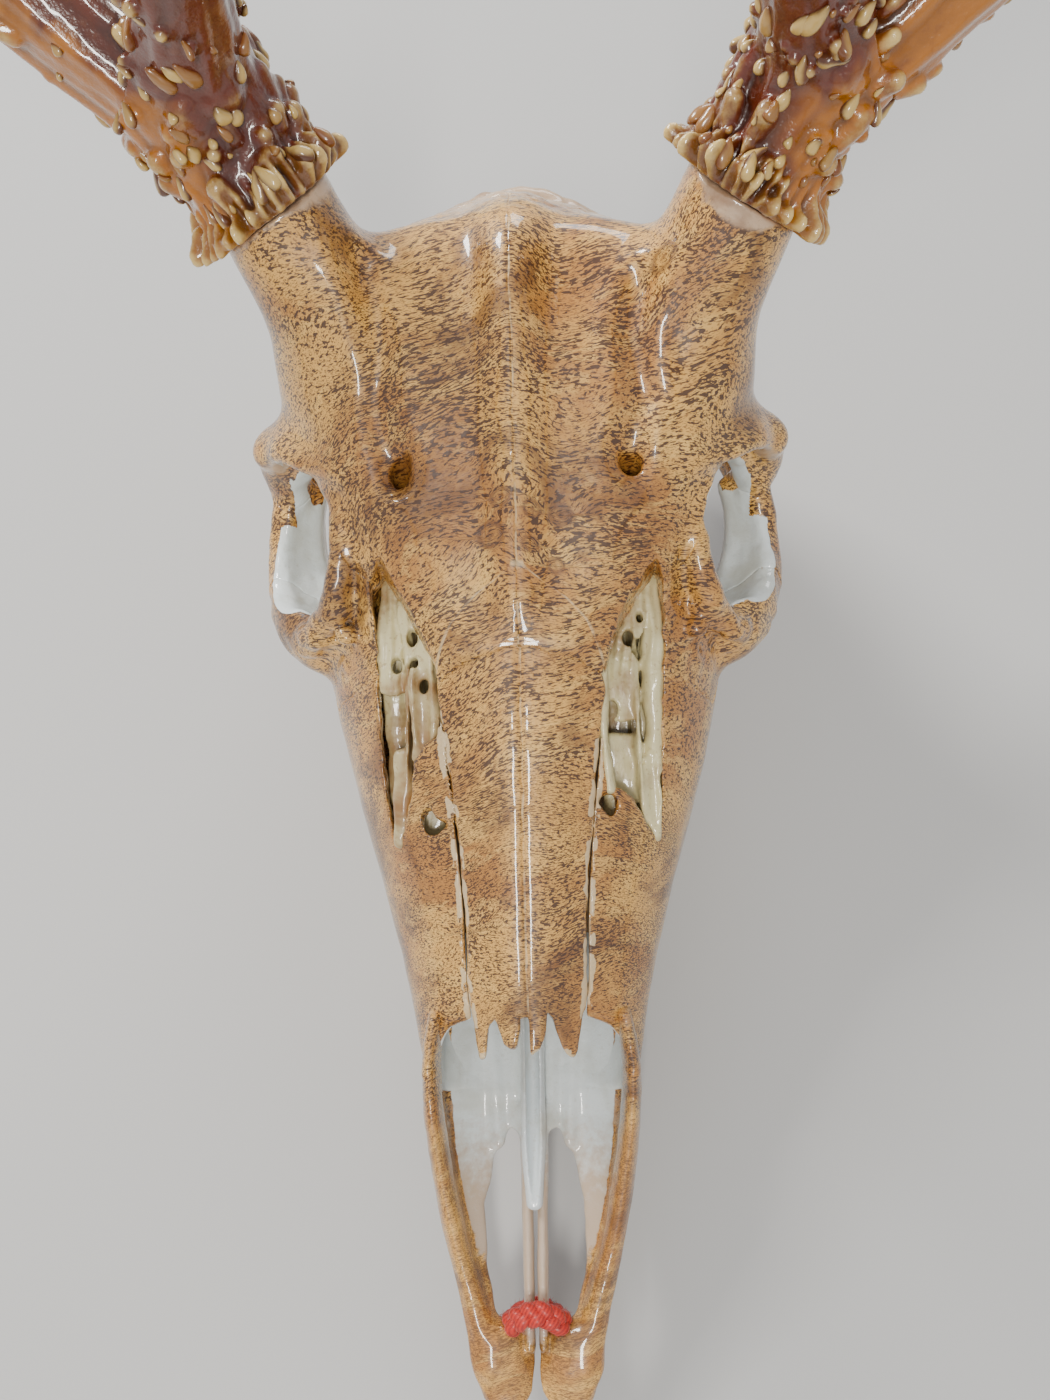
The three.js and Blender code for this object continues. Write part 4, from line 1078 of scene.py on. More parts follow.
# Each job names a bone, its own regions, those of the bones taken before it, and the two corners
# of its box in Y and Z
first_taken = [frontal_region, lacrimal_region, zygomatic_region]
for side, label in ((1, "left"), (-1, "right")):
    across = sorted((side * -3, side * 74))
    own_side, other_side = ([-midline], []) if side > 0 else ([], [-midline])
    jobs = [
        ("frontal", [frontal_region], [], (-14, 66), (102, 146), frontal_film),
        ("lacrimal", [lacrimal_region], first_taken[:1], (-8, 50), (36, 110), face_film),
        ("zygomatic", [zygomatic_region], first_taken[:2], (-6, 34), (80, 92), face_film),
        ("maxilla", [], [*first_taken, behind], (-97, -3), (22, 106), face_film),
        ("temporal", [temporal_region, behind], first_taken, (50, -3), (138, 82), braincase_film),
    ]
    for bone, own, others, low, high, material in jobs:
        own, others = own_side + own, other_side + others
        low, high = (across[0], *low), (across[1], *high)
        piece = skull_bone(f"{bone}_{label}_bone", own, others, low, high, material)
        node = "braincase" if bone == "temporal" else f"{bone}_{label}"
        settle(piece, [node])

others = [*first_taken, temporal_region]
back_jobs = [
    ("skull_vault_bone", [behind, vault_region], others, (-74, 8, 60), (74, 138, 146)),
    ("skull_base_bone", [behind], [*others, vault_region], (-74, 8, -3), (74, 138, 82)),
]
for name, own, others, low, high in back_jobs:
    piece = skull_bone(name, own, others, low, high, braincase_film)
    settle(piece, ["braincase"])

# ---------------------------------------------------------------------------------------------
# Nasal bones: two long thin plates that lie side by side over the nose, notched into prongs in
# front. Their outer edges have cracked away from the jaw bones and stand a little proud.
# ---------------------------------------------------------------------------------------------
nose = Block((-22, -91, 44), (22, 15, 106), 0.5)
nose.join(nasal_plate())
edge = 0.6 * roughness(nose.axes, 3.4, 31) + 0.4 * roughness(nose.axes, 1.6, 32)
x, y, z = nose.open()
half, top, drop = along(NASALS, y)
nose.value = soft_high(nose.value, np.abs(x) - half + 0.5 + edge, 0.8)
lip = np.exp(-(((half - np.abs(x) - 1.2) / 1.1) ** 2)) * ramp(-y, 0, 30) * 0.45
nose.value -= lip + 0.16 * roughness(nose.axes, 7, 33) + 0.06 * roughness(nose.axes, 2.4, 34)
nose.value += 0.3 * np.exp(-((x + 0.3) / 0.9) ** 2) * ramp(z - top, -3, -1)
for side in (1, -1):
    for notch in NOTCHES[side]:
        cutter = flat_reach(notch, x, y) + 0.4 * edge
        own_half = ramp(side * x, -1.2, -0.2)
        nose.value = soft_high(nose.value, -cutter - 9 * (1 - own_half), 0.8)
nose_bend = broad_bend(nose.value, nose.axes, nose.spacing, 3)
middle = x + 0.4 * edge + 0 * z


def under_the_nose(points):
    top = np.interp(points[:, 1], [row[0] for row in NASALS], [row[2] for row in NASALS])
    return ramp(top - points[:, 2], 8.4, 9.6)


for side, label in ((1, "left"), (-1, "right")):
    if side > 0:
        field = np.maximum(nose.value + 0.07 * ramp(-middle, -0.7, -0.1), -middle - UNDERLAP)
    else:
        field = soft_high(nose.value, middle, 0.3)
    piece = bone_piece(
        f"nasal_{label}_bone", field, nose.axes, nose.spacing,
        nasal_film, nose_bend, under_the_nose, middle,
    )
    settle(piece, [f"nasal_{label}"])

# ---------------------------------------------------------------------------------------------
# Snout bones: on each side a flat floor with a long opening, a raised bar that runs back to the
# cheek, a rough pad at the tip, and the thin rod that runs back along the middle.
# ---------------------------------------------------------------------------------------------
SNOUT_PLAN = [
    (0.5, -148), (1.6, -157), (4.5, -160), (9.5, -159), (13.2, -154), (14.8, -147), (16.2, -139),
    (19, -127), (21.3, -116), (23.4, -104), (24.4, -92.3), (21.5, -89), (20, -67), (0.5, -67),
]
PALATE_OPENING = [
    (0.2, -145.6), (9.2, -144), (11.9, -130), (12, -117), (9.6, -106), (6.4, -99), (0.2, -98),
]
SNOUT_BAR = [
    [11, -150, 18, 4.2, 4], [14.6, -138, 20.5, 3, 4.6], [18.2, -126, 24, 2.6, 5.2],
    [21.2, -112, 29, 2.5, 6.4], [23.2, -98, 35, 2.5, 7.6], [23.6, -86, 41.5, 2.2, 7],
    [21.8, -76, 50, 1.8, 4],
]
SNOUT_PAD = [[7.8, -157.5, 16.4, 5.2, 2.8], [8.2, -152, 17.6, 6.4, 4.2], [8.4, -146, 19, 5, 3.8]]
FLOOR_RIBS = [
    ([[4.8, -74, 25.6, 1, 1.2], [4.4, -99, 23, 0.8, 0.8]], 3),
    ([[10.4, -74, 26, 1, 1.4], [8.6, -103, 22.8, 0.8, 0.8]], 3),
]
PALATINE_ROD = [[1.7, -148, 18.6, 1.3, 2.2], [1.7, -128, 21, 1.3, 2.3], [2.2, -95, 23.6, 1.5, 2.2]]


def snout_white(points):
    px, py, pz = points.T
    half = np.interp(py, [-127, -116, -104, -92], [19, 21.3, 23.4, 24.4])
    return ramp(py + 1.6 * (14 - np.abs(px)), -136, -116) * ramp(half - np.abs(px), 3.6, 5.2)


for side, label in ((1, "left"), (-1, "right")):
    low_x, high_x = sorted((side * -0.6, side * 27))
    snout = Block((low_x, -163, 9), (high_x, -63, 56), 0.5)
    x, y, z = snout.open()
    wander_here = 0.5 * roughness(snout.axes, 3, 51 + side)
    dish = 0.03 * np.maximum(np.abs(x) - 8, 0) ** 2
    level = 22.7 + 0.1 * (y + 92.3) + 1.2 * ramp(y, -98, -91) + dish
    floor = np.maximum(flat_reach(np.array(SNOUT_PLAN) * (side, 1), x, y), np.abs(z - level) - 1.1)
    opening = flat_reach(np.array(PALATE_OPENING) * (side, 1), x, y) + wander_here
    snout.value = soft_high(floor, -opening, 1)
    for points, blend in ((SNOUT_BAR, 2.5), (SNOUT_PAD, 3), (PALATINE_ROD, 0.8), *FLOOR_RIBS):
        snout.join(bar(sided(side, points)), blend)
    snout.value = np.maximum(snout.value, 0.05 - side * x)
    fine_share = 0.08 + 0.16 * ramp(-y, 140, 152)
    coarse = 0.2 * roughness(snout.axes, 6, 53 + side)
    snout.value -= coarse + fine_share * roughness(snout.axes, 2, 55 + side)
    snout_bend = broad_bend(snout.value, snout.axes, snout.spacing, 3)
    piece = bone_piece(
        f"premaxilla_{label}_bone", snout.value, snout.axes, snout.spacing,
        snout_film, snout_bend, snout_white, x + 0 * snout.value,
    )
    settle(piece, [f"premaxilla_{label}"])

# ---------------------------------------------------------------------------------------------
# Inside the nose: the thin scrolls of ivory bone that show beside the nasal bones, riddled with
# holes, and the narrow trough of the vomer on the middle line.
# ---------------------------------------------------------------------------------------------
BACKING = [  # sheets behind the openings, the same on both sides
    [[25, 14, 74, 7.5, 1.6], [25, -8, 67, 7.5, 1.6], [26, -26, 59, 6, 1.6], [27, -40, 53, 4, 1.4]],
    [[30.4, 14, 80, 3, 1.4], [30.4, -8, 72, 3, 1.4], [30, -28, 62, 2.4, 1.4]],
    [[26.3, 13, 77, 1, 9], [26.2, -8, 72, 1, 10], [27, -24, 64, 1, 9], [28, -38, 57, 1, 6]],
    [[22, -16, 72, 4.4, 1.2], [22.4, -36, 63, 4.2, 1.2]],
]
PLATES = {  # the curled leaves in front of them
    -1: [
        [[19.5, -2, 83, 0.8, 3], [19.6, -12, 79, 0.8, 3]],
        [[29.6, 19, 87, 2.4, 1.6], [30.4, 8, 84.5, 3.2, 1.6], [30.2, -6, 79.5, 3, 1.4]],
        [[26.6, 12, 88, 2, 1.2], [25.4, 6, 86.5, 2.4, 1.2], [24.6, -1, 84, 2, 1.2]],
        [
            [22.4, 2, 88, 1.6, 1.6], [22.6, -6, 84.6, 3.4, 2],
            [22.2, -16, 80.4, 3.4, 2], [23.6, -22, 77, 2, 1.4],
        ],
        [[28.4, -20, 74, 1.8, 1.4], [28.2, -29, 69.6, 2.7, 1.6], [29.4, -38.5, 64.4, 1, 1]],
    ],
    1: [
        [[18.6, -4, 84, 1, 4], [18.4, -18, 79, 1.4, 4.4], [19.4, -29, 74, 1.6, 4]],
        [
            [29.4, 17.5, 87, 2.4, 2.4], [30.4, 4, 82.6, 2.9, 2.9],
            [30.5, -10, 76.4, 2.8, 2.8], [30.4, -23, 70, 2, 2],
        ],
        [[27, 13, 88, 2.4, 1.4], [25.4, 5, 86, 3, 1.3], [24, -1, 84, 2.4, 1.2]],
        [[23.4, 3, 84.6, 3.2, 1.3], [22.8, -6, 81.4, 4.2, 1.3], [22.4, -13.5, 78.4, 3.6, 1.2]],
        [[29.4, -22, 72, 1.8, 1.4], [29.8, -31, 67.6, 2.6, 1.6], [30.6, -38, 63.6, 1, 1]],
    ],
}
GUTTERS = {
    -1: [[22.4, 0, 90, 1, 1.6], [22.8, -8, 86.4, 2, 2.4], [22.6, -20, 81, 2, 2.4]],
    1: [[29.8, -22, 74.4, 1.2, 1.6], [30.2, -30, 70.4, 1.7, 2], [30.6, -36, 67, 1, 1.4]],
}
PINHOLES = {
    -1: [(22.3, -7, 84, 1.1), (25, 4, 87, 1.3), (29, -1, 82, 1.2), (24.5, -2, 84, 1.2)],
    1: [(27.4, 7.5, 87, 0.8), (24.6, 3, 86, 1.3), (26.6, 1, 84, 1.4), (20.5, -12, 78, 1.5)],
}


def raw_bone(name, pale, stain, dirt):
    """Undipped bone under a thin coat."""
    made, tree, shader = new_skin(name)
    tones = bone_tones(tree, pale, stain, dirt)
    outputs = tones.outputs
    finish_skin(tree, shader, outputs["Color"], outputs["Height"], (0.4, 0.0005), (0.38, 0.8, 0.08))
    return made


ivory_bone = raw_bone("bare_ivory_bone", srgb(218, 206, 156), srgb(148, 108, 62), 0.8)
white_bone = raw_bone("white_inner_bone", srgb(214, 221, 222), srgb(192, 190, 178), 0.5)

for side, label in ((1, "left"), (-1, "right")):
    low_x, high_x = sorted((side * 15, side * 34.5))
    scrolls = Block((low_x, -46, 48), (high_x, 22, 93), 0.42)
    for points in [*BACKING, *PLATES[side]]:
        scrolls.join(bar(sided(side, points), steps=16), 1.2)
    scrolls.cut(bar(sided(side, GUTTERS[side]), steps=16), 0.8)
    x, y, z = scrolls.open()
    across_ribs = np.sin(y * 3.6 + 5 * roughness(scrolls.axes, 5, 61)) * ramp(side * x, 25, 28)
    along_ridges = np.sin(x * 3 + 4 * roughness(scrolls.axes, 7, 62)) * ramp(y, -12, 0)
    rough = 0.32 * roughness(scrolls.axes, 2.6, 63 + side) + 0.2 * roughness(scrolls.axes, 6, 65 + side)
    scrolls.value -= 0.02 * across_ribs + 0.2 * along_ridges + 1.3 * rough
    for hole_x, hole_y, hole_z, radius in PINHOLES[side]:
        hole = (side * hole_x, hole_y, hole_z)
        scrolls.cut(ball(hole, (radius, radius * 1.5, 5)), 0.4)
    points, faces = surface(scrolls.value, scrolls.axes, scrolls.spacing)
    piece = make_piece(f"turbinates_{label}_bone", points, faces, ivory_bone)
    bend = broad_bend(scrolls.value, scrolls.axes, scrolls.spacing, 3)
    mark_piece(piece, {"bend": sample(*bend, points)})
    settle(piece, [f"turbinates_{label}"])

VOMER = [
    [0, -117, 26.5, 2, 1.6], [0, -104, 28, 3, 3.2], [0, -80, 30, 3, 6.5], [0, -40, 34, 2.6, 10],
    [0, -6, 43, 2.6, 15],
]
TROUGH = [
    [0, -120, 29.4, 0.9, 1.5], [0, -104, 31.4, 1.7, 3.2], [0, -80, 35, 1.7, 4.5], [0, -40, 42, 1.2, 6],
]
trough = Block((-5, -121, 18), (5, -1, 62), 0.45)
trough.join(bar(VOMER, steps=20))
trough.cut(bar(TROUGH, steps=20), 0.6)
trough.value -= 0.14 * roughness(trough.axes, 4, 71)
points, faces = surface(trough.value, trough.axes, trough.spacing)
piece = make_piece("vomer_bone", points, faces, white_bone)
bend = broad_bend(trough.value, trough.axes, trough.spacing, 3)
mark_piece(piece, {"bend": sample(*bend, points)})
settle(piece, ["vomer"])

# ---------------------------------------------------------------------------------------------
# Cheek teeth: three premolars and three molars on each side, set close in the jaw. A molar has
# two lobes, and each lobe a cusp on either side of a worn valley.
# ---------------------------------------------------------------------------------------------
TOOTH_ROW = {"front": -64, "back": 13, "half_front": 21.5, "half_back": 28.5}
TEETH = [  # length, width, level of the biting face and number of lobes, from the front
    (9.5, 8.5, 3, 1), (11, 10.5, 1.6, 1), (10.5, 12.5, 0, 1),
    (14, 14, 0, 2), (15.5, 15, 0, 2), (15.5, 14.5, 0, 2),
]

enamel, tree, shader = new_skin("tooth_enamel")
grown = bone_tones(tree, srgb(222, 212, 184), srgb(150, 122, 84), 0.9)
worn = steps_between(tree, mark(tree, "biting"), 0.0, 1.0)
color = paint(tree, grown.outputs["Color"], srgb(108, 78, 48), times(tree, worn, 0.7))
finish_skin(tree, shader, color, grown.outputs["Height"], (0.3, 0.0004), (0.3, 0.7, 0.1))

for side, label in ((1, "left"), (-1, "right")):
    low_x, high_x = sorted((side * 14, side * 38))
    row = Block((low_x, -67, -0.8), (high_x, 16, 22), 0.42)
    x, y, z = row.open()
    total = sum(tooth[0] for tooth in TEETH)
    share = 0
    row_length = TOOTH_ROW["back"] - TOOTH_ROW["front"]
    spread_back = TOOTH_ROW["half_back"] - TOOTH_ROW["half_front"]
    for length, wide, foot, lobes in TEETH:
        for lobe in range(lobes):
            part = length / lobes / total
            middle = share + part / 2
            share += part
            cx = side * (TOOTH_ROW["half_front"] + spread_back * middle)
            cy = TOOTH_ROW["front"] + row_length * middle
            long = part * row_length
            narrow = 1 - 0.10 * ramp(z, 6, 16) - 0.06 * ramp(-z, -4, 0)
            u = (x - cx) / (wide / 2 * narrow)
            v = (y - cy) / (long * 0.53 * narrow)
            column = (np.sqrt(np.sqrt(u**4 + v**4)) - 1) * min(wide, long) / 2
            valley = 2.6 * np.exp(-((u / 0.36) ** 2)) * np.exp(-((v / 0.75) ** 2)) + 1.5 * v * v
            rib = 0.25 * np.cos(v * 5.2) * ramp(side * u, 0.6, 1)
            body = soft_high(column - rib, foot + valley - z + 0.35 * np.abs(u) ** 3, 1.2)
            row.value = soft_low(row.value, body, 0.5)
    row.value = np.maximum(row.value, 0.02 - z)
    row.value -= 0.08 * roughness(row.axes, 2, 81 + side)
    points, faces = surface(row.value, row.axes, row.spacing)
    piece = make_piece(f"cheek_teeth_{label}", points, faces, enamel)
    bend = broad_bend(row.value, row.axes, row.spacing, 2)
    biting = ramp(-normals_of(piece)[:, 2], 0.2, 0.9)
    # The bend is made 1.6 times stronger on the teeth, which deepens the painted shade in their hollows.
    mark_piece(piece, {"bend": sample(*bend, points) * 1.6, "biting": biting})
    settle(piece, [f"maxilla_{label}"])

# ---------------------------------------------------------------------------------------------
# Antlers. A burr of upright knobs, a beam that sweeps out and forwards, and three standing
# tines. Long grooves run along the beam and pearls of horn crowd its foot, fewer further up.
# ---------------------------------------------------------------------------------------------
BEAM = [
    [50, 82.5, 138, 13.5, 13.5], [61, 91.5, 155, 14, 14], [77, 100, 168, 14.5, 14.5],
    [104, 111, 190, 15, 15],
    [140, 120, 226, 14.5, 14.5], [174, 110, 268, 14.5, 14.5], [198, 74, 303, 13, 13], [208, 18, 329, 12, 12],
    [199, -40, 346, 10, 10], [176, -88, 359, 7.5, 7.5], [150, -118, 371, 2.2, 2.2],
]
BEAM_UP = (0.55, -0.1, -0.8)
TINES = {
    "brow_tine": (0.115, (51, 82, 210), (48, 66, 258), 10.5),
    "second_tine": (0.43, (160, 126, 320), (150, 108, 388), 11),
    "third_tine": (0.66, (211, 46, 360), (192, 22, 402), 10),
}
LENGTHS = [  # tine, start and end along the beam, spacing of its block in mm
    ("antler_base", "brow_tine", 0, 0.15, 0.5),
    ("antler_middle", "second_tine", 0.15, 0.465, 0.65),
    ("antler_fork", "third_tine", 0.465, 0.695, 0.65),
    ("antler_end", None, 0.695, 1, 0.65),
]
BEAM_STEPS = 400
BURR_LUMPS = 25
BEAM_LINE = smooth_path(BEAM, BEAM_STEPS)

antler_skin, tree, shader = new_skin("stained_antler")
place = put(tree, "ShaderNodeTexCoord").outputs["Object"]
patches = speckle(tree, place, 45, 3, 0.6, 0.6)
fine = speckle(tree, place, 420, 3, 0.6)
upper = steps_between(tree, mark(tree, "along"), 0.10, 0.5)
dark = paint(tree, srgb(98, 34, 5), srgb(98, 56, 26), upper)
light = paint(tree, srgb(178, 106, 6), srgb(160, 106, 50), upper)
tone = plus(tree, mark(tree, "amber"), swing(tree, patches, 1.5))
color = paint(tree, dark, light, steps_between(tree, tone, 0.3, 0.62))
violet = steps_between(tree, speckle(tree, place, 110, 3, 0.6, 0.5), 0.52, 0.64)
violet = times(tree, violet, steps_between(tree, tone, 0.5, 0.2, 0, 0.6))
color = paint(tree, color, srgb(80, 38, 26), violet)
# Crevices darkened nearly to black: the antler's darker stain in its grooves, and painted shade.
crevice_stain_and_shade = steps_between(tree, mark(tree, "bend"), 0.2, -0.6)
color = paint(tree, color, srgb(34, 12, 4), times(tree, crevice_stain_and_shade, 0.8))
specks = times(tree, steps_between(tree, fine, 0.5, 0.7), 0.3)
color = paint(tree, color, srgb(120, 66, 26), specks)
crown = steps_between(tree, plus(tree, mark(tree, "bend"), swing(tree, fine, 0.8)), 0.1, 0.9)
rise = mark(tree, "rise")
pearl = times(tree, steps_between(tree, rise, 0.8, 2.2), crown)
color = paint(tree, color, srgb(128, 86, 34), steps_between(tree, rise, 1.0, 3.0, 0, 0.6))
color = paint(tree, color, srgb(222, 188, 112), pearl)
tips = steps_between(tree, mark(tree, "tip"), 0.55, 0.95)
color = paint(tree, color, srgb(222, 204, 168), tips)
height = plus(tree, fine, speckle(tree, place, 900, 2, 0.5))
finish_skin(tree, shader, color, height, (0.4, 0.0006), (0.3, 1, 0.05))


def grooves(seed, strength=1.0):
    """Long ridges and grooves that wander round the beam and fade towards its tip."""
    draws = np.random.default_rng(seed)
    waves = [
        (n, size, draws.uniform(0, 7), draws.uniform(0, 7), draws.uniform(2, 7))
        for n, size in ((3, 0.5), (5, 0.42), (8, 0.34), (13, 0.26), (21, 0.14))
    ]

    def relief(turn, t):
        total = 0
        for n, size, phase, twist, speed in waves:
            total = total + size * np.cos(n * turn + phase + 1.6 * np.sin(speed * 2 * t + twist))
        return total * strength * (1.05 - 0.85 * ramp(t, 0.3, 1.0))

    return relief


# Pearls of horn lie on the antler's foot like drops, drawn out along the beam. Geometry Nodes
# strews them over the finished skin, and each drop is paler at its crown.
# PEARL_CROWDS holds how many there are to the square metre and the least gap in mm.
PEARL_CROWDS = {"antler_base": (42000, 2.4), "antler_middle": (9000, 4.2)}
pearl_horn, tree, shader = new_skin("pearls_of_horn")
mottle = speckle(tree, put(tree, "ShaderNodeTexCoord").outputs["Object"], 600, 3, 0.6)
crown = plus(tree, mark(tree, "crown"), swing(tree, mottle, 0.5))
color = paint(tree, srgb(84, 42, 12), srgb(206, 172, 98), steps_between(tree, crown, -0.1, 0.85))
tint = steps_between(tree, mark(tree, "tint"), 0.45, 0.95, 0, 0.8)
color = paint(tree, color, srgb(128, 70, 18), tint)
finish_skin(tree, shader, color, None, None, (0.3, 1, 0.04))


def growing_tree(name, inputs):
    """A Geometry Nodes tree with named inputs. Gives the tree, the sockets that carry the inputs
    and the identifier by which a modifier sets each one."""
    made = bpy.data.node_groups.new(name, "GeometryNodeTree")
    made.interface.new_socket("Geometry", in_out="INPUT", socket_type="NodeSocketGeometry")
    identifiers = {}
    for label, kind, value in inputs:
        socket = made.interface.new_socket(label, in_out="INPUT", socket_type="NodeSocket" + kind)
        if value is not None:
            socket.default_value = value
        identifiers[label] = socket.identifier
    made.interface.new_socket("Geometry", in_out="OUTPUT", socket_type="NodeSocketGeometry")
    return made, made.nodes.new("NodeGroupInput").outputs, identifiers


def grow_out(tree, geometry, material):
    """Ends a tree: smooth shading, its material and the output."""
    smooth = put(tree, "GeometryNodeSetShadeSmooth", {"Geometry": geometry}).outputs[0]
    feeds = {"Geometry": smooth, "Material": material}
    made = put(tree, "GeometryNodeSetMaterial", feeds).outputs[0]
    tree.links.new(made, tree.nodes.new("NodeGroupOutput").inputs[0])


def grown_by(carrier, group, settings, name):
    """The mesh that a node tree makes on a carrier, as a plain object of its own."""
    grower = carrier.modifiers.new("grow", "NODES")
    grower.node_group = group
    for identifier, value in settings.items():
        grower[identifier] = value
    seen = carrier.evaluated_get(bpy.context.evaluated_depsgraph_get())
    mesh = bpy.data.meshes.new_from_object(seen)
    carrier.modifiers.remove(grower)
    made = bpy.data.objects.new(name, mesh)
    bpy.context.scene.collection.objects.link(made)
    return made


def random_share(tree, low, high, seed):
    feeds = {2: low, 3: high, "Seed": seed}
    return put(tree, "FunctionNodeRandomValue", feeds, data_type="FLOAT").outputs[1]


pearl_tree, given, PEARL_INPUTS = growing_tree("strewn_pearls", [
    ("Least Gap", "Float", 0.0031), ("Crowd", "Float", 9000.0), ("Seed", "Int", 1),
    ("Size", "Float", 0.0012), ("Longest", "Float", 2.6), ("Beam Way", "Vector", (0, 0, 1)),
    ("Skin", "Material", None),
])
tree = pearl_tree
feeds = {
    "Mesh": given["Geometry"], "Distance Min": given["Least Gap"], "Density Max": given["Crowd"],
    "Density Factor": mark_field(tree, "pearl_room"), "Seed": given["Seed"],
}
strewn = put(tree, "GeometryNodeDistributePointsOnFaces", feeds, distribute_method="POISSON").outputs

# One drop, thinner at one end, that knows how high each of its points stands
drop = put(tree, "GeometryNodeMeshIcoSphere", {"Radius": 1.0, "Subdivisions": 3}).outputs["Mesh"]
place = put(tree, "GeometryNodeInputPosition").outputs[0]
parts = put(tree, "ShaderNodeSeparateXYZ", {0: place}).outputs
taper = sums(tree, "SUBTRACT", 1.0, times(tree, parts[0], 0.38))
feeds = {"X": parts[0], "Y": times(tree, parts[1], taper), "Z": times(tree, parts[2], taper)}
pointed = put(tree, "ShaderNodeCombineXYZ", feeds).outputs[0]
drop = put(tree, "GeometryNodeSetPosition", {"Geometry": drop, "Position": pointed}).outputs[0]
stored = {"data_type": "FLOAT", "domain": "POINT"}
feeds = {"Geometry": drop, "Name": "crown", "Value": parts[2]}
drop = put(tree, "GeometryNodeStoreNamedAttribute", feeds, **stored).outputs[0]

# Each drop lies along the beam, in a size, length and tint of its own
feeds = {"Rotation": strewn["Rotation"], "Vector": given["Beam Way"]}
turned = put(tree, "FunctionNodeAlignRotationToVector", feeds, axis="X", pivot_axis="Z").outputs[0]
thick = times(tree, random_share(tree, 0.45, 1.3, given["Seed"]), given["Size"])
long = times(tree, thick, random_share(tree, 1.0, given["Longest"], 7))
drop_scale = put(tree, "ShaderNodeCombineXYZ", {"X": long, "Y": thick, "Z": thick}).outputs[0]
feeds = {"Points": strewn["Points"], "Instance": drop, "Rotation": turned, "Scale": drop_scale}
drops = put(tree, "GeometryNodeInstanceOnPoints", feeds).outputs[0]
feeds = {"Geometry": drops, "Name": "tint", "Value": random_share(tree, 0.0, 1.0, 11)}
stored["domain"] = "INSTANCE"
drops = put(tree, "GeometryNodeStoreNamedAttribute", feeds, **stored).outputs[0]
drops = put(tree, "GeometryNodeRealizeInstances", {"Geometry": drops}).outputs[0]

# Last, the drops are made a little uneven
lumps = put(tree, "ShaderNodeTexNoise", {"Scale": 380.0, "Detail": 0.0}).outputs["Color"]
uneven = vectors(tree, "SUBTRACT", {0: lumps, 1: (0.5, 0.5, 0.5)})
uneven = vectors(tree, "SCALE", {0: uneven, "Scale": 0.0009})
drops = put(tree, "GeometryNodeSetPosition", {"Geometry": drops, "Offset": uneven}).outputs[0]
grow_out(tree, drops, given["Skin"])


def scatter_pearls(piece, name, crowd, way, seed, nodes):
    settings = {
        "Least Gap": crowd[1] / 1000, "Crowd": float(crowd[0]), "Seed": seed,
        "Beam Way": way, "Skin": pearl_horn,
    }
    settings = {PEARL_INPUTS[label]: value for label, value in settings.items()}
    made = grown_by(piece, pearl_tree, settings, name)
    settle(made, nodes)


def run_of_beam(first, last, ways):
    run = (BEAM_LINE[last] - BEAM_LINE[first])[:3] * ways
    return tuple(float(v) for v in run / np.linalg.norm(run))


def on_beam(index, side):
    """A row of the beam's line and the way it runs there."""
    here = BEAM_LINE[index] * [side, 1, 1, 1, 1]
    step = (BEAM_LINE[min(index + 1, BEAM_STEPS)] - BEAM_LINE[max(index - 1, 0)])[:3] * [side, 1, 1]
    return here, step / np.linalg.norm(step)


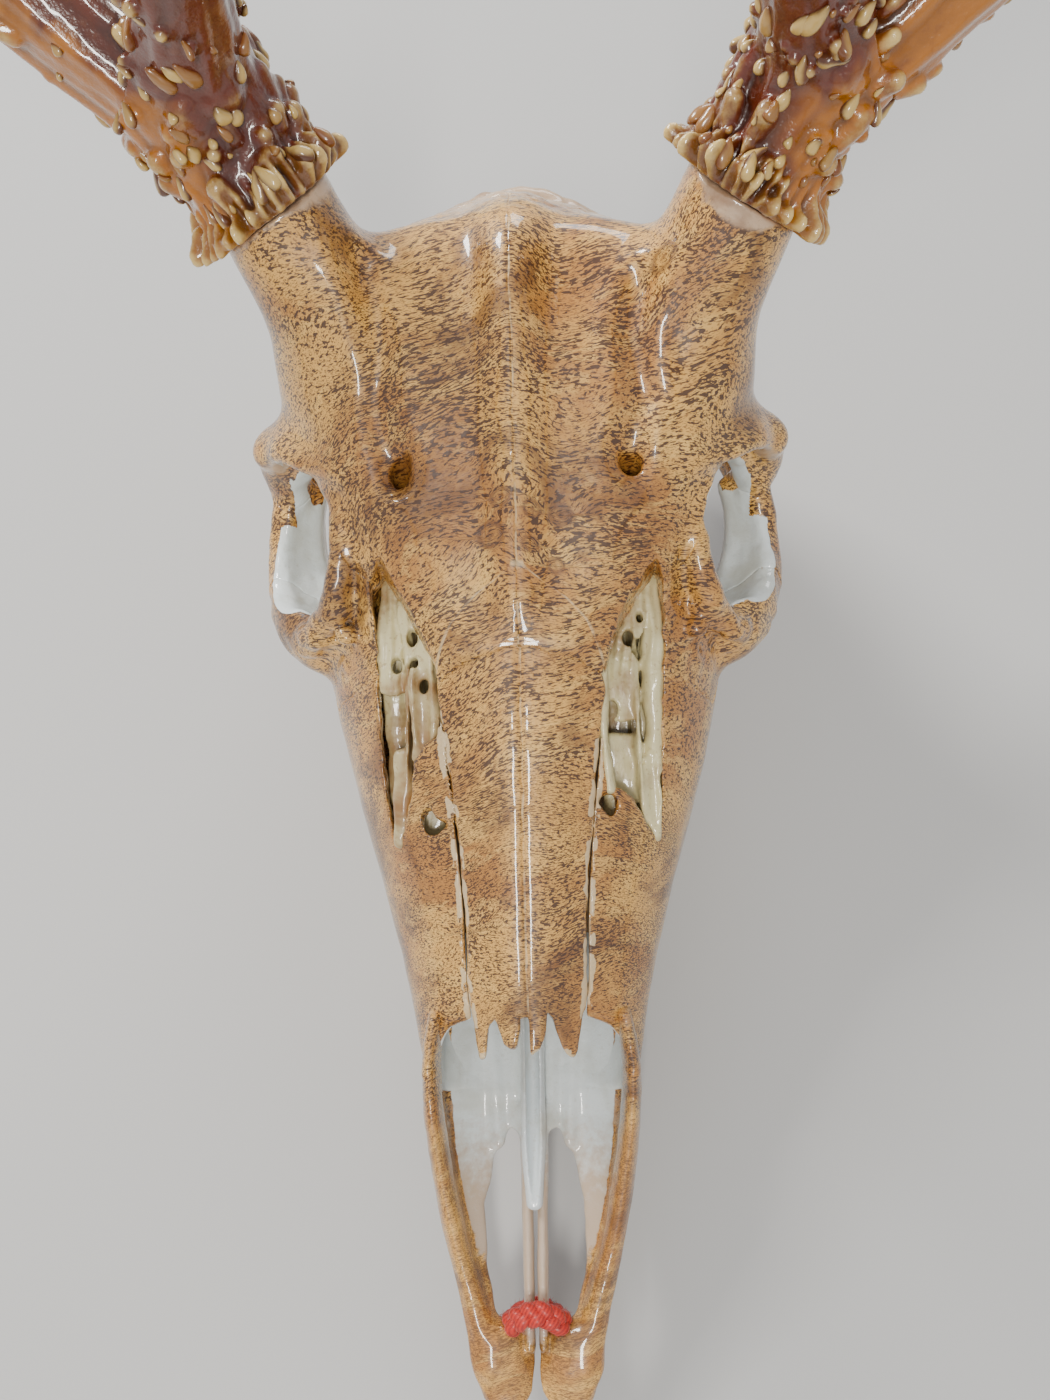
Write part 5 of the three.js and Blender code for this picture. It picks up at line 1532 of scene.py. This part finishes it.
def antler_length(side, name, tine, start, end, spacing, seed):
    """One length of an antler, with the tine that springs from it. seed starts its random draws."""
    ways = np.array([side, 1, 1])
    first, last = int(start * BEAM_STEPS), int(end * BEAM_STEPS)
    line = BEAM_LINE[max(first - 10, 0) : last + 11] * [side, 1, 1, 1, 1]
    rows = line[:, :3]
    low, high = rows.min(0) - 20, rows.max(0) + 20
    spine = [[*p[:3], p[3], p[4]] for p in line[:: max(1, len(line) // 16)]]
    if tine:
        at, bend, tip, radius = TINES[tine]
        root = BEAM_LINE[int(round(at * BEAM_STEPS)), :3] * ways
        bend, tip = np.array(bend) * ways, np.array(tip) * ways
        between = (root + bend) / 2
        stalk = [
            [*root, radius * 1.2, radius * 1.2], [*between, radius * 0.92, radius * 0.92],
            [*bend, radius * 0.7, radius * 0.7], [*tip, radius * 0.12, radius * 0.12],
        ]
        low = np.minimum(low, np.minimum(tip, bend) - 10)
        high = np.maximum(high, np.maximum(tip, bend) + 4)
    made = Block(low, high, spacing)
    flutes = grooves(seed)
    rounded = bar(spine, BEAM_UP, len(spine) * 2, lambda turn, t: flutes(turn, start + (end - start) * t))
    made.join(rounded)
    smooth = Block(low, high, spacing)
    smooth.join(bar(spine, BEAM_UP, len(spine)))
    x, y, z = made.open()
    for index, way in ((first, 1), (last, -1)):
        here, step = on_beam(index, side)
        if index < BEAM_STEPS:
            past = (x - here[0]) * step[0] + (y - here[1]) * step[1] + (z - here[2]) * step[2]
            made.value = np.maximum(made.value, 0.04 - way * past)

    # Bumps that grow out of the beam, most of them low down, and some drawn out along it
    draws = np.random.default_rng(seed + 5)
    crowd = {"antler_base": 90, "antler_middle": 50, "antler_fork": 20, "antler_end": 0}[name]
    for _ in range(crowd):
        t = start + (end - start) * draws.uniform(0.02, 0.98) ** (1.3 if name == "antler_middle" else 1.1)
        here, step = on_beam(int(t * BEAM_STEPS), side)
        out = np.cross(step, BEAM_UP)
        out /= np.linalg.norm(out)
        lift = np.cross(out, step)
        turn = draws.uniform(0, 2 * math.pi)
        away = out * math.cos(turn) + lift * math.sin(turn)
        size = draws.uniform(0.9, 2.1) * (1.15 - 0.9 * t)
        long = draws.choice([0.2, 0.2, 0.2, 2.5, 4.5]) * (1 - t)
        foot = here[:3] + away * (here[3] - 0.4)
        head = foot + away * size * 0.9 + step * long
        made.join(bar([[*foot, size * 1.25, size * 1.25], [*head, size, size]], step + 0.01, 2), 0.9)
    if tine:
        stem = grooves(seed + 9, 0.6)
        made.join(bar(stalk, (0, 1, 0), 16, lambda turn, t: stem(turn, 0.3 + 0.7 * t)), 5)
        smooth.join(bar(stalk, (0, 1, 0), 16), 5)
        for _ in range(30 if name == "antler_base" else 8):
            t = draws.uniform(0.12, 0.55)
            here = smooth_path(stalk, 40)[int(t * 40)]
            turn = draws.uniform(0, 2 * math.pi)
            size = draws.uniform(0.8, 1.7)
            away = np.array([math.cos(turn), math.sin(turn), 0.2])
            foot = here[:3] + away * (here[3] - 0.4)
            head = foot + away * size
            bump = bar([[*foot, size, size], [*head, size * 0.8, size * 0.8]], (0, 0.3, 1), 2)
            made.join(bump, 0.9)

    # The burr: a collar with a crown of leaning lumps, furrowed round its edge
    if name == "antler_base":
        ahead = BEAM_FOOT * ways
        out = np.cross(ahead, (0, 0, 1))
        out /= np.linalg.norm(out)
        lift = np.cross(out, ahead)
        foot = BEAM_LINE[0, :3] * ways
        made.join(bar([[*(foot + ahead * 1.5), 15, 15], [*(foot + ahead * 5), 14.5, 14.5]], (0, 0, 1), 2), 2)
        for number in range(BURR_LUMPS):
            turn = 2 * math.pi * (number + draws.uniform(-0.35, 0.35)) / BURR_LUMPS
            away = out * math.cos(turn) + lift * math.sin(turn)
            size = draws.uniform(1.5, 2.7)
            height = 3.2 + 2 * math.sin(2 * turn + seed) + draws.uniform(-1.2, 1.2)
            start_at = foot + away * 13 + ahead * 1.8
            stop_at = foot + away * draws.uniform(16.8, 19.6) + ahead * height
            lump = [[*start_at, size * 1.3, size * 1.3], [*stop_at, size * 0.8, size]]
            made.join(bar(lump, ahead + 0.01, 3), 1.8)
            if draws.uniform() < 0.55:
                top = foot + away * draws.uniform(14.6, 16.4) + ahead * (height + draws.uniform(2, 4))
                made.join(ball(top, [size * draws.uniform(0.7, 1)] * 3), 1.6)
        past, side_step, up_step = (
            (x - foot[0]) * v[0] + (y - foot[1]) * v[1] + (z - foot[2]) * v[2]
            for v in (ahead, out, lift)
        )
        round_foot = np.arctan2(up_step, side_step)
        furrows = np.cos(34 * round_foot + 2 * roughness(made.axes, 6, seed + 7))
        made.value += 0.6 * furrows * ramp(np.hypot(side_step, up_step), 13, 16) * ramp(-past, -11, -8)
        made.value = soft_high(made.value, 0.2 - past, 1)
    made.value -= 0.16 * roughness(made.axes, 2.2, seed + 2) + 0.2 * roughness(made.axes, 6, seed + 3)
    points, faces = surface(made.value, made.axes, spacing)
    label = "left" if side > 0 else "right"
    piece = make_piece(f"{name}_{label}_horn", points, faces, antler_skin)

    # What the skin reads: how far each point lies along the beam, off it and towards a tip
    near = BEAM_LINE[:, :3] * ways
    nearest = np.zeros(len(points), int)
    least = np.full(len(points), 1e9)
    for index in range(max(first - 4, 0), min(last + 5, BEAM_STEPS + 1), 2):
        away = ((points - near[index]) ** 2).sum(1)
        closer = away < least
        least[closer] = away[closer]
        nearest[closer] = index
    off_beam = np.sqrt(least) - BEAM_LINE[nearest, 3]
    tips = ramp(nearest / BEAM_STEPS, 0.85, 1.0)
    if tine:
        run = tip - root
        tine_tip = ramp((points - root) @ run / (run @ run), 0.5, 1.0)
        tips = np.maximum(tips, tine_tip * ramp(off_beam, 2, 8))
    outward = np.array([side * 0.78, -0.1, -0.5])
    amber = 0.5 + (points - near[nearest]) @ outward / 22
    room = ramp(-nearest / BEAM_STEPS, -0.34, -0.02) * ramp(-off_beam, -30, -6)
    mark_piece(piece, {
        "rise": sample(smooth.value, smooth.axes, spacing, points),
        "bend": sample(*broad_bend(made.value, made.axes, spacing, 2), points),
        "along": nearest / BEAM_STEPS + 0.25 * ramp(off_beam, 10, 60),
        "amber": amber,
        "tip": tips,
        "pearl_room": room * ramp(nearest, 9, 14),
    })
    nodes = [f"{name}_{label}"] + ([f"{tine}_{label}"] if tine else [])
    settle(piece, nodes)
    if name in PEARL_CROWDS:
        way = run_of_beam(first, last, ways)
        scatter_pearls(piece, f"pearls_{name}_{label}", PEARL_CROWDS[name], way, seed, nodes)


for side in (1, -1):
    for number, settings in enumerate(LENGTHS):
        antler_length(side, *settings, 200 + 20 * number + (100 if side < 0 else 0))

# ---------------------------------------------------------------------------------------------
# Cord: a short band of three braided red strands, tied round the two rods near the snout's tip.
# ---------------------------------------------------------------------------------------------
CORD_MIDDLE = (0, -140.5, 19.6)
cord_red, tree, shader = new_skin("red_cord_fibre")
place = put(tree, "ShaderNodeTexCoord").outputs["Object"]
parts = put(tree, "ShaderNodeSeparateXYZ", {0: place}).outputs
sunk = sums(tree, "SUBTRACT", parts[2], CORD_MIDDLE[2] / 1000)
turn = sums(tree, "ARCTAN2", sunk, parts[0])
twist = plus(tree, times(tree, turn, 46.0), times(tree, parts[1], 4200.0))
threads = steps_between(tree, sums(tree, "SINE", twist), -1, 1)
fuzz = speckle(tree, place, 1800, 3, 0.6)
color = paint(tree, srgb(166, 18, 5), srgb(206, 36, 12), threads)
pale_fuzz = times(tree, steps_between(tree, fuzz, 0.55, 0.75), 0.35)
color = paint(tree, color, srgb(232, 88, 60), pale_fuzz)
shader.inputs["Sheen Weight"].default_value = 0.2
finish_skin(tree, shader, color, plus(tree, threads, fuzz), (0.3, 0.0002), (0.55, 0.25, 0.25))

cord_tree, given, CORD_INPUTS = growing_tree("braided_band", [
    ("Across", "Float", 0.0061), ("Upright", "Float", 0.005), ("Strand", "Float", 0.0016),
    ("Swing", "Float", 0.0013), ("Crossings", "Float", 4.0), ("Bow", "Float", 0.0026),
    ("Hairs", "Float", 900000.0), ("Seed", "Int", 3), ("Middle", "Vector", (0, 0, 0)),
    ("Fibre", "Material", None),
])
tree = cord_tree
circle = "GeometryNodeCurvePrimitiveCircle"
ring = put(tree, circle, {"Resolution": 260, "Radius": 1.0}).outputs["Curve"]
thread = put(tree, circle, {"Resolution": 12, "Radius": 1.0}).outputs["Curve"]
size = put(tree, "ShaderNodeCombineXYZ", {axis: given["Strand"] for axis in "XYZ"}).outputs[0]
thread = put(tree, "GeometryNodeTransform", {"Geometry": thread, "Scale": size}).outputs[0]
place = put(tree, "GeometryNodeInputPosition").outputs[0]
parts = put(tree, "ShaderNodeSeparateXYZ", {0: place}).outputs
turn = sums(tree, "ARCTAN2", parts[1], parts[0])
level, upright = sums(tree, "COSINE", turn), sums(tree, "SINE", turn)
bow = times(tree, times(tree, level, level), sums(tree, "SUBTRACT", 0.0, given["Bow"]))

# Three strands weave from side to side, a third of a turn apart, and the ends of the band bow
strands = tree.nodes.new("GeometryNodeJoinGeometry")
for strand in range(3):
    phase = plus(tree, times(tree, turn, given["Crossings"]), 2 * math.pi * strand / 3)
    out = times(tree, sums(tree, "SINE", times(tree, phase, 2.0)), 0.6)
    out = times(tree, out, given["Swing"])
    wide = times(tree, plus(tree, given["Across"], out), level)
    tall = times(tree, plus(tree, given["Upright"], out), upright)
    sway = plus(tree, times(tree, sums(tree, "SINE", phase), given["Swing"]), bow)
    where = put(tree, "ShaderNodeCombineXYZ", {"X": wide, "Y": sway, "Z": tall}).outputs[0]
    path = put(tree, "GeometryNodeSetPosition", {"Geometry": ring, "Position": where}).outputs[0]
    feeds = {"Curve": path, "Profile Curve": thread}
    tree.links.new(put(tree, "GeometryNodeCurveToMesh", feeds).outputs[0], strands.inputs[0])

# Short loose hairs lean every way from the strands
feeds = {"Mesh": strands.outputs[0], "Density": given["Hairs"], "Seed": given["Seed"]}
roots = put(tree, "GeometryNodeDistributePointsOnFaces", feeds).outputs
feeds = {"Vertices": 4, "Radius Top": 0.000012, "Radius Bottom": 0.00004, "Depth": 0.0009}
hair = put(tree, "GeometryNodeMeshCone", feeds).outputs["Mesh"]
feeds = {0: (-0.9, -0.9, 0), 1: (0.9, 0.9, 0)}
lean = put(tree, "FunctionNodeRandomValue", feeds, data_type="FLOAT_VECTOR").outputs[0]
feeds = {"Rotation": roots["Rotation"], "Rotate By": lean}
leaning = put(tree, "FunctionNodeRotateRotation", feeds, rotation_space="LOCAL").outputs[0]
feeds = {"Points": roots["Points"], "Instance": hair, "Rotation": leaning}
hairs = put(tree, "GeometryNodeInstanceOnPoints", feeds).outputs[0]
both = tree.nodes.new("GeometryNodeJoinGeometry")
tree.links.new(hairs, both.inputs[0])
tree.links.new(strands.outputs[0], both.inputs[0])
cord = put(tree, "GeometryNodeRealizeInstances", {"Geometry": both.outputs[0]}).outputs[0]
feeds = {"Geometry": cord, "Translation": given["Middle"]}
cord = put(tree, "GeometryNodeTransform", feeds).outputs[0]
grow_out(tree, cord, given["Fibre"])

carrier = bpy.data.objects.new("cord_carrier", bpy.data.meshes.new("cord_carrier"))
bpy.context.scene.collection.objects.link(carrier)
middle = tuple((v + (TABLE_LIFT if axis == 1 else 0)) / 1000 for axis, v in enumerate(CORD_MIDDLE))
settings = {CORD_INPUTS["Middle"]: middle, CORD_INPUTS["Fibre"]: cord_red}
piece = grown_by(carrier, cord_tree, settings, "braided_cord")
bpy.data.objects.remove(carrier)
settle(piece, ["cord"])
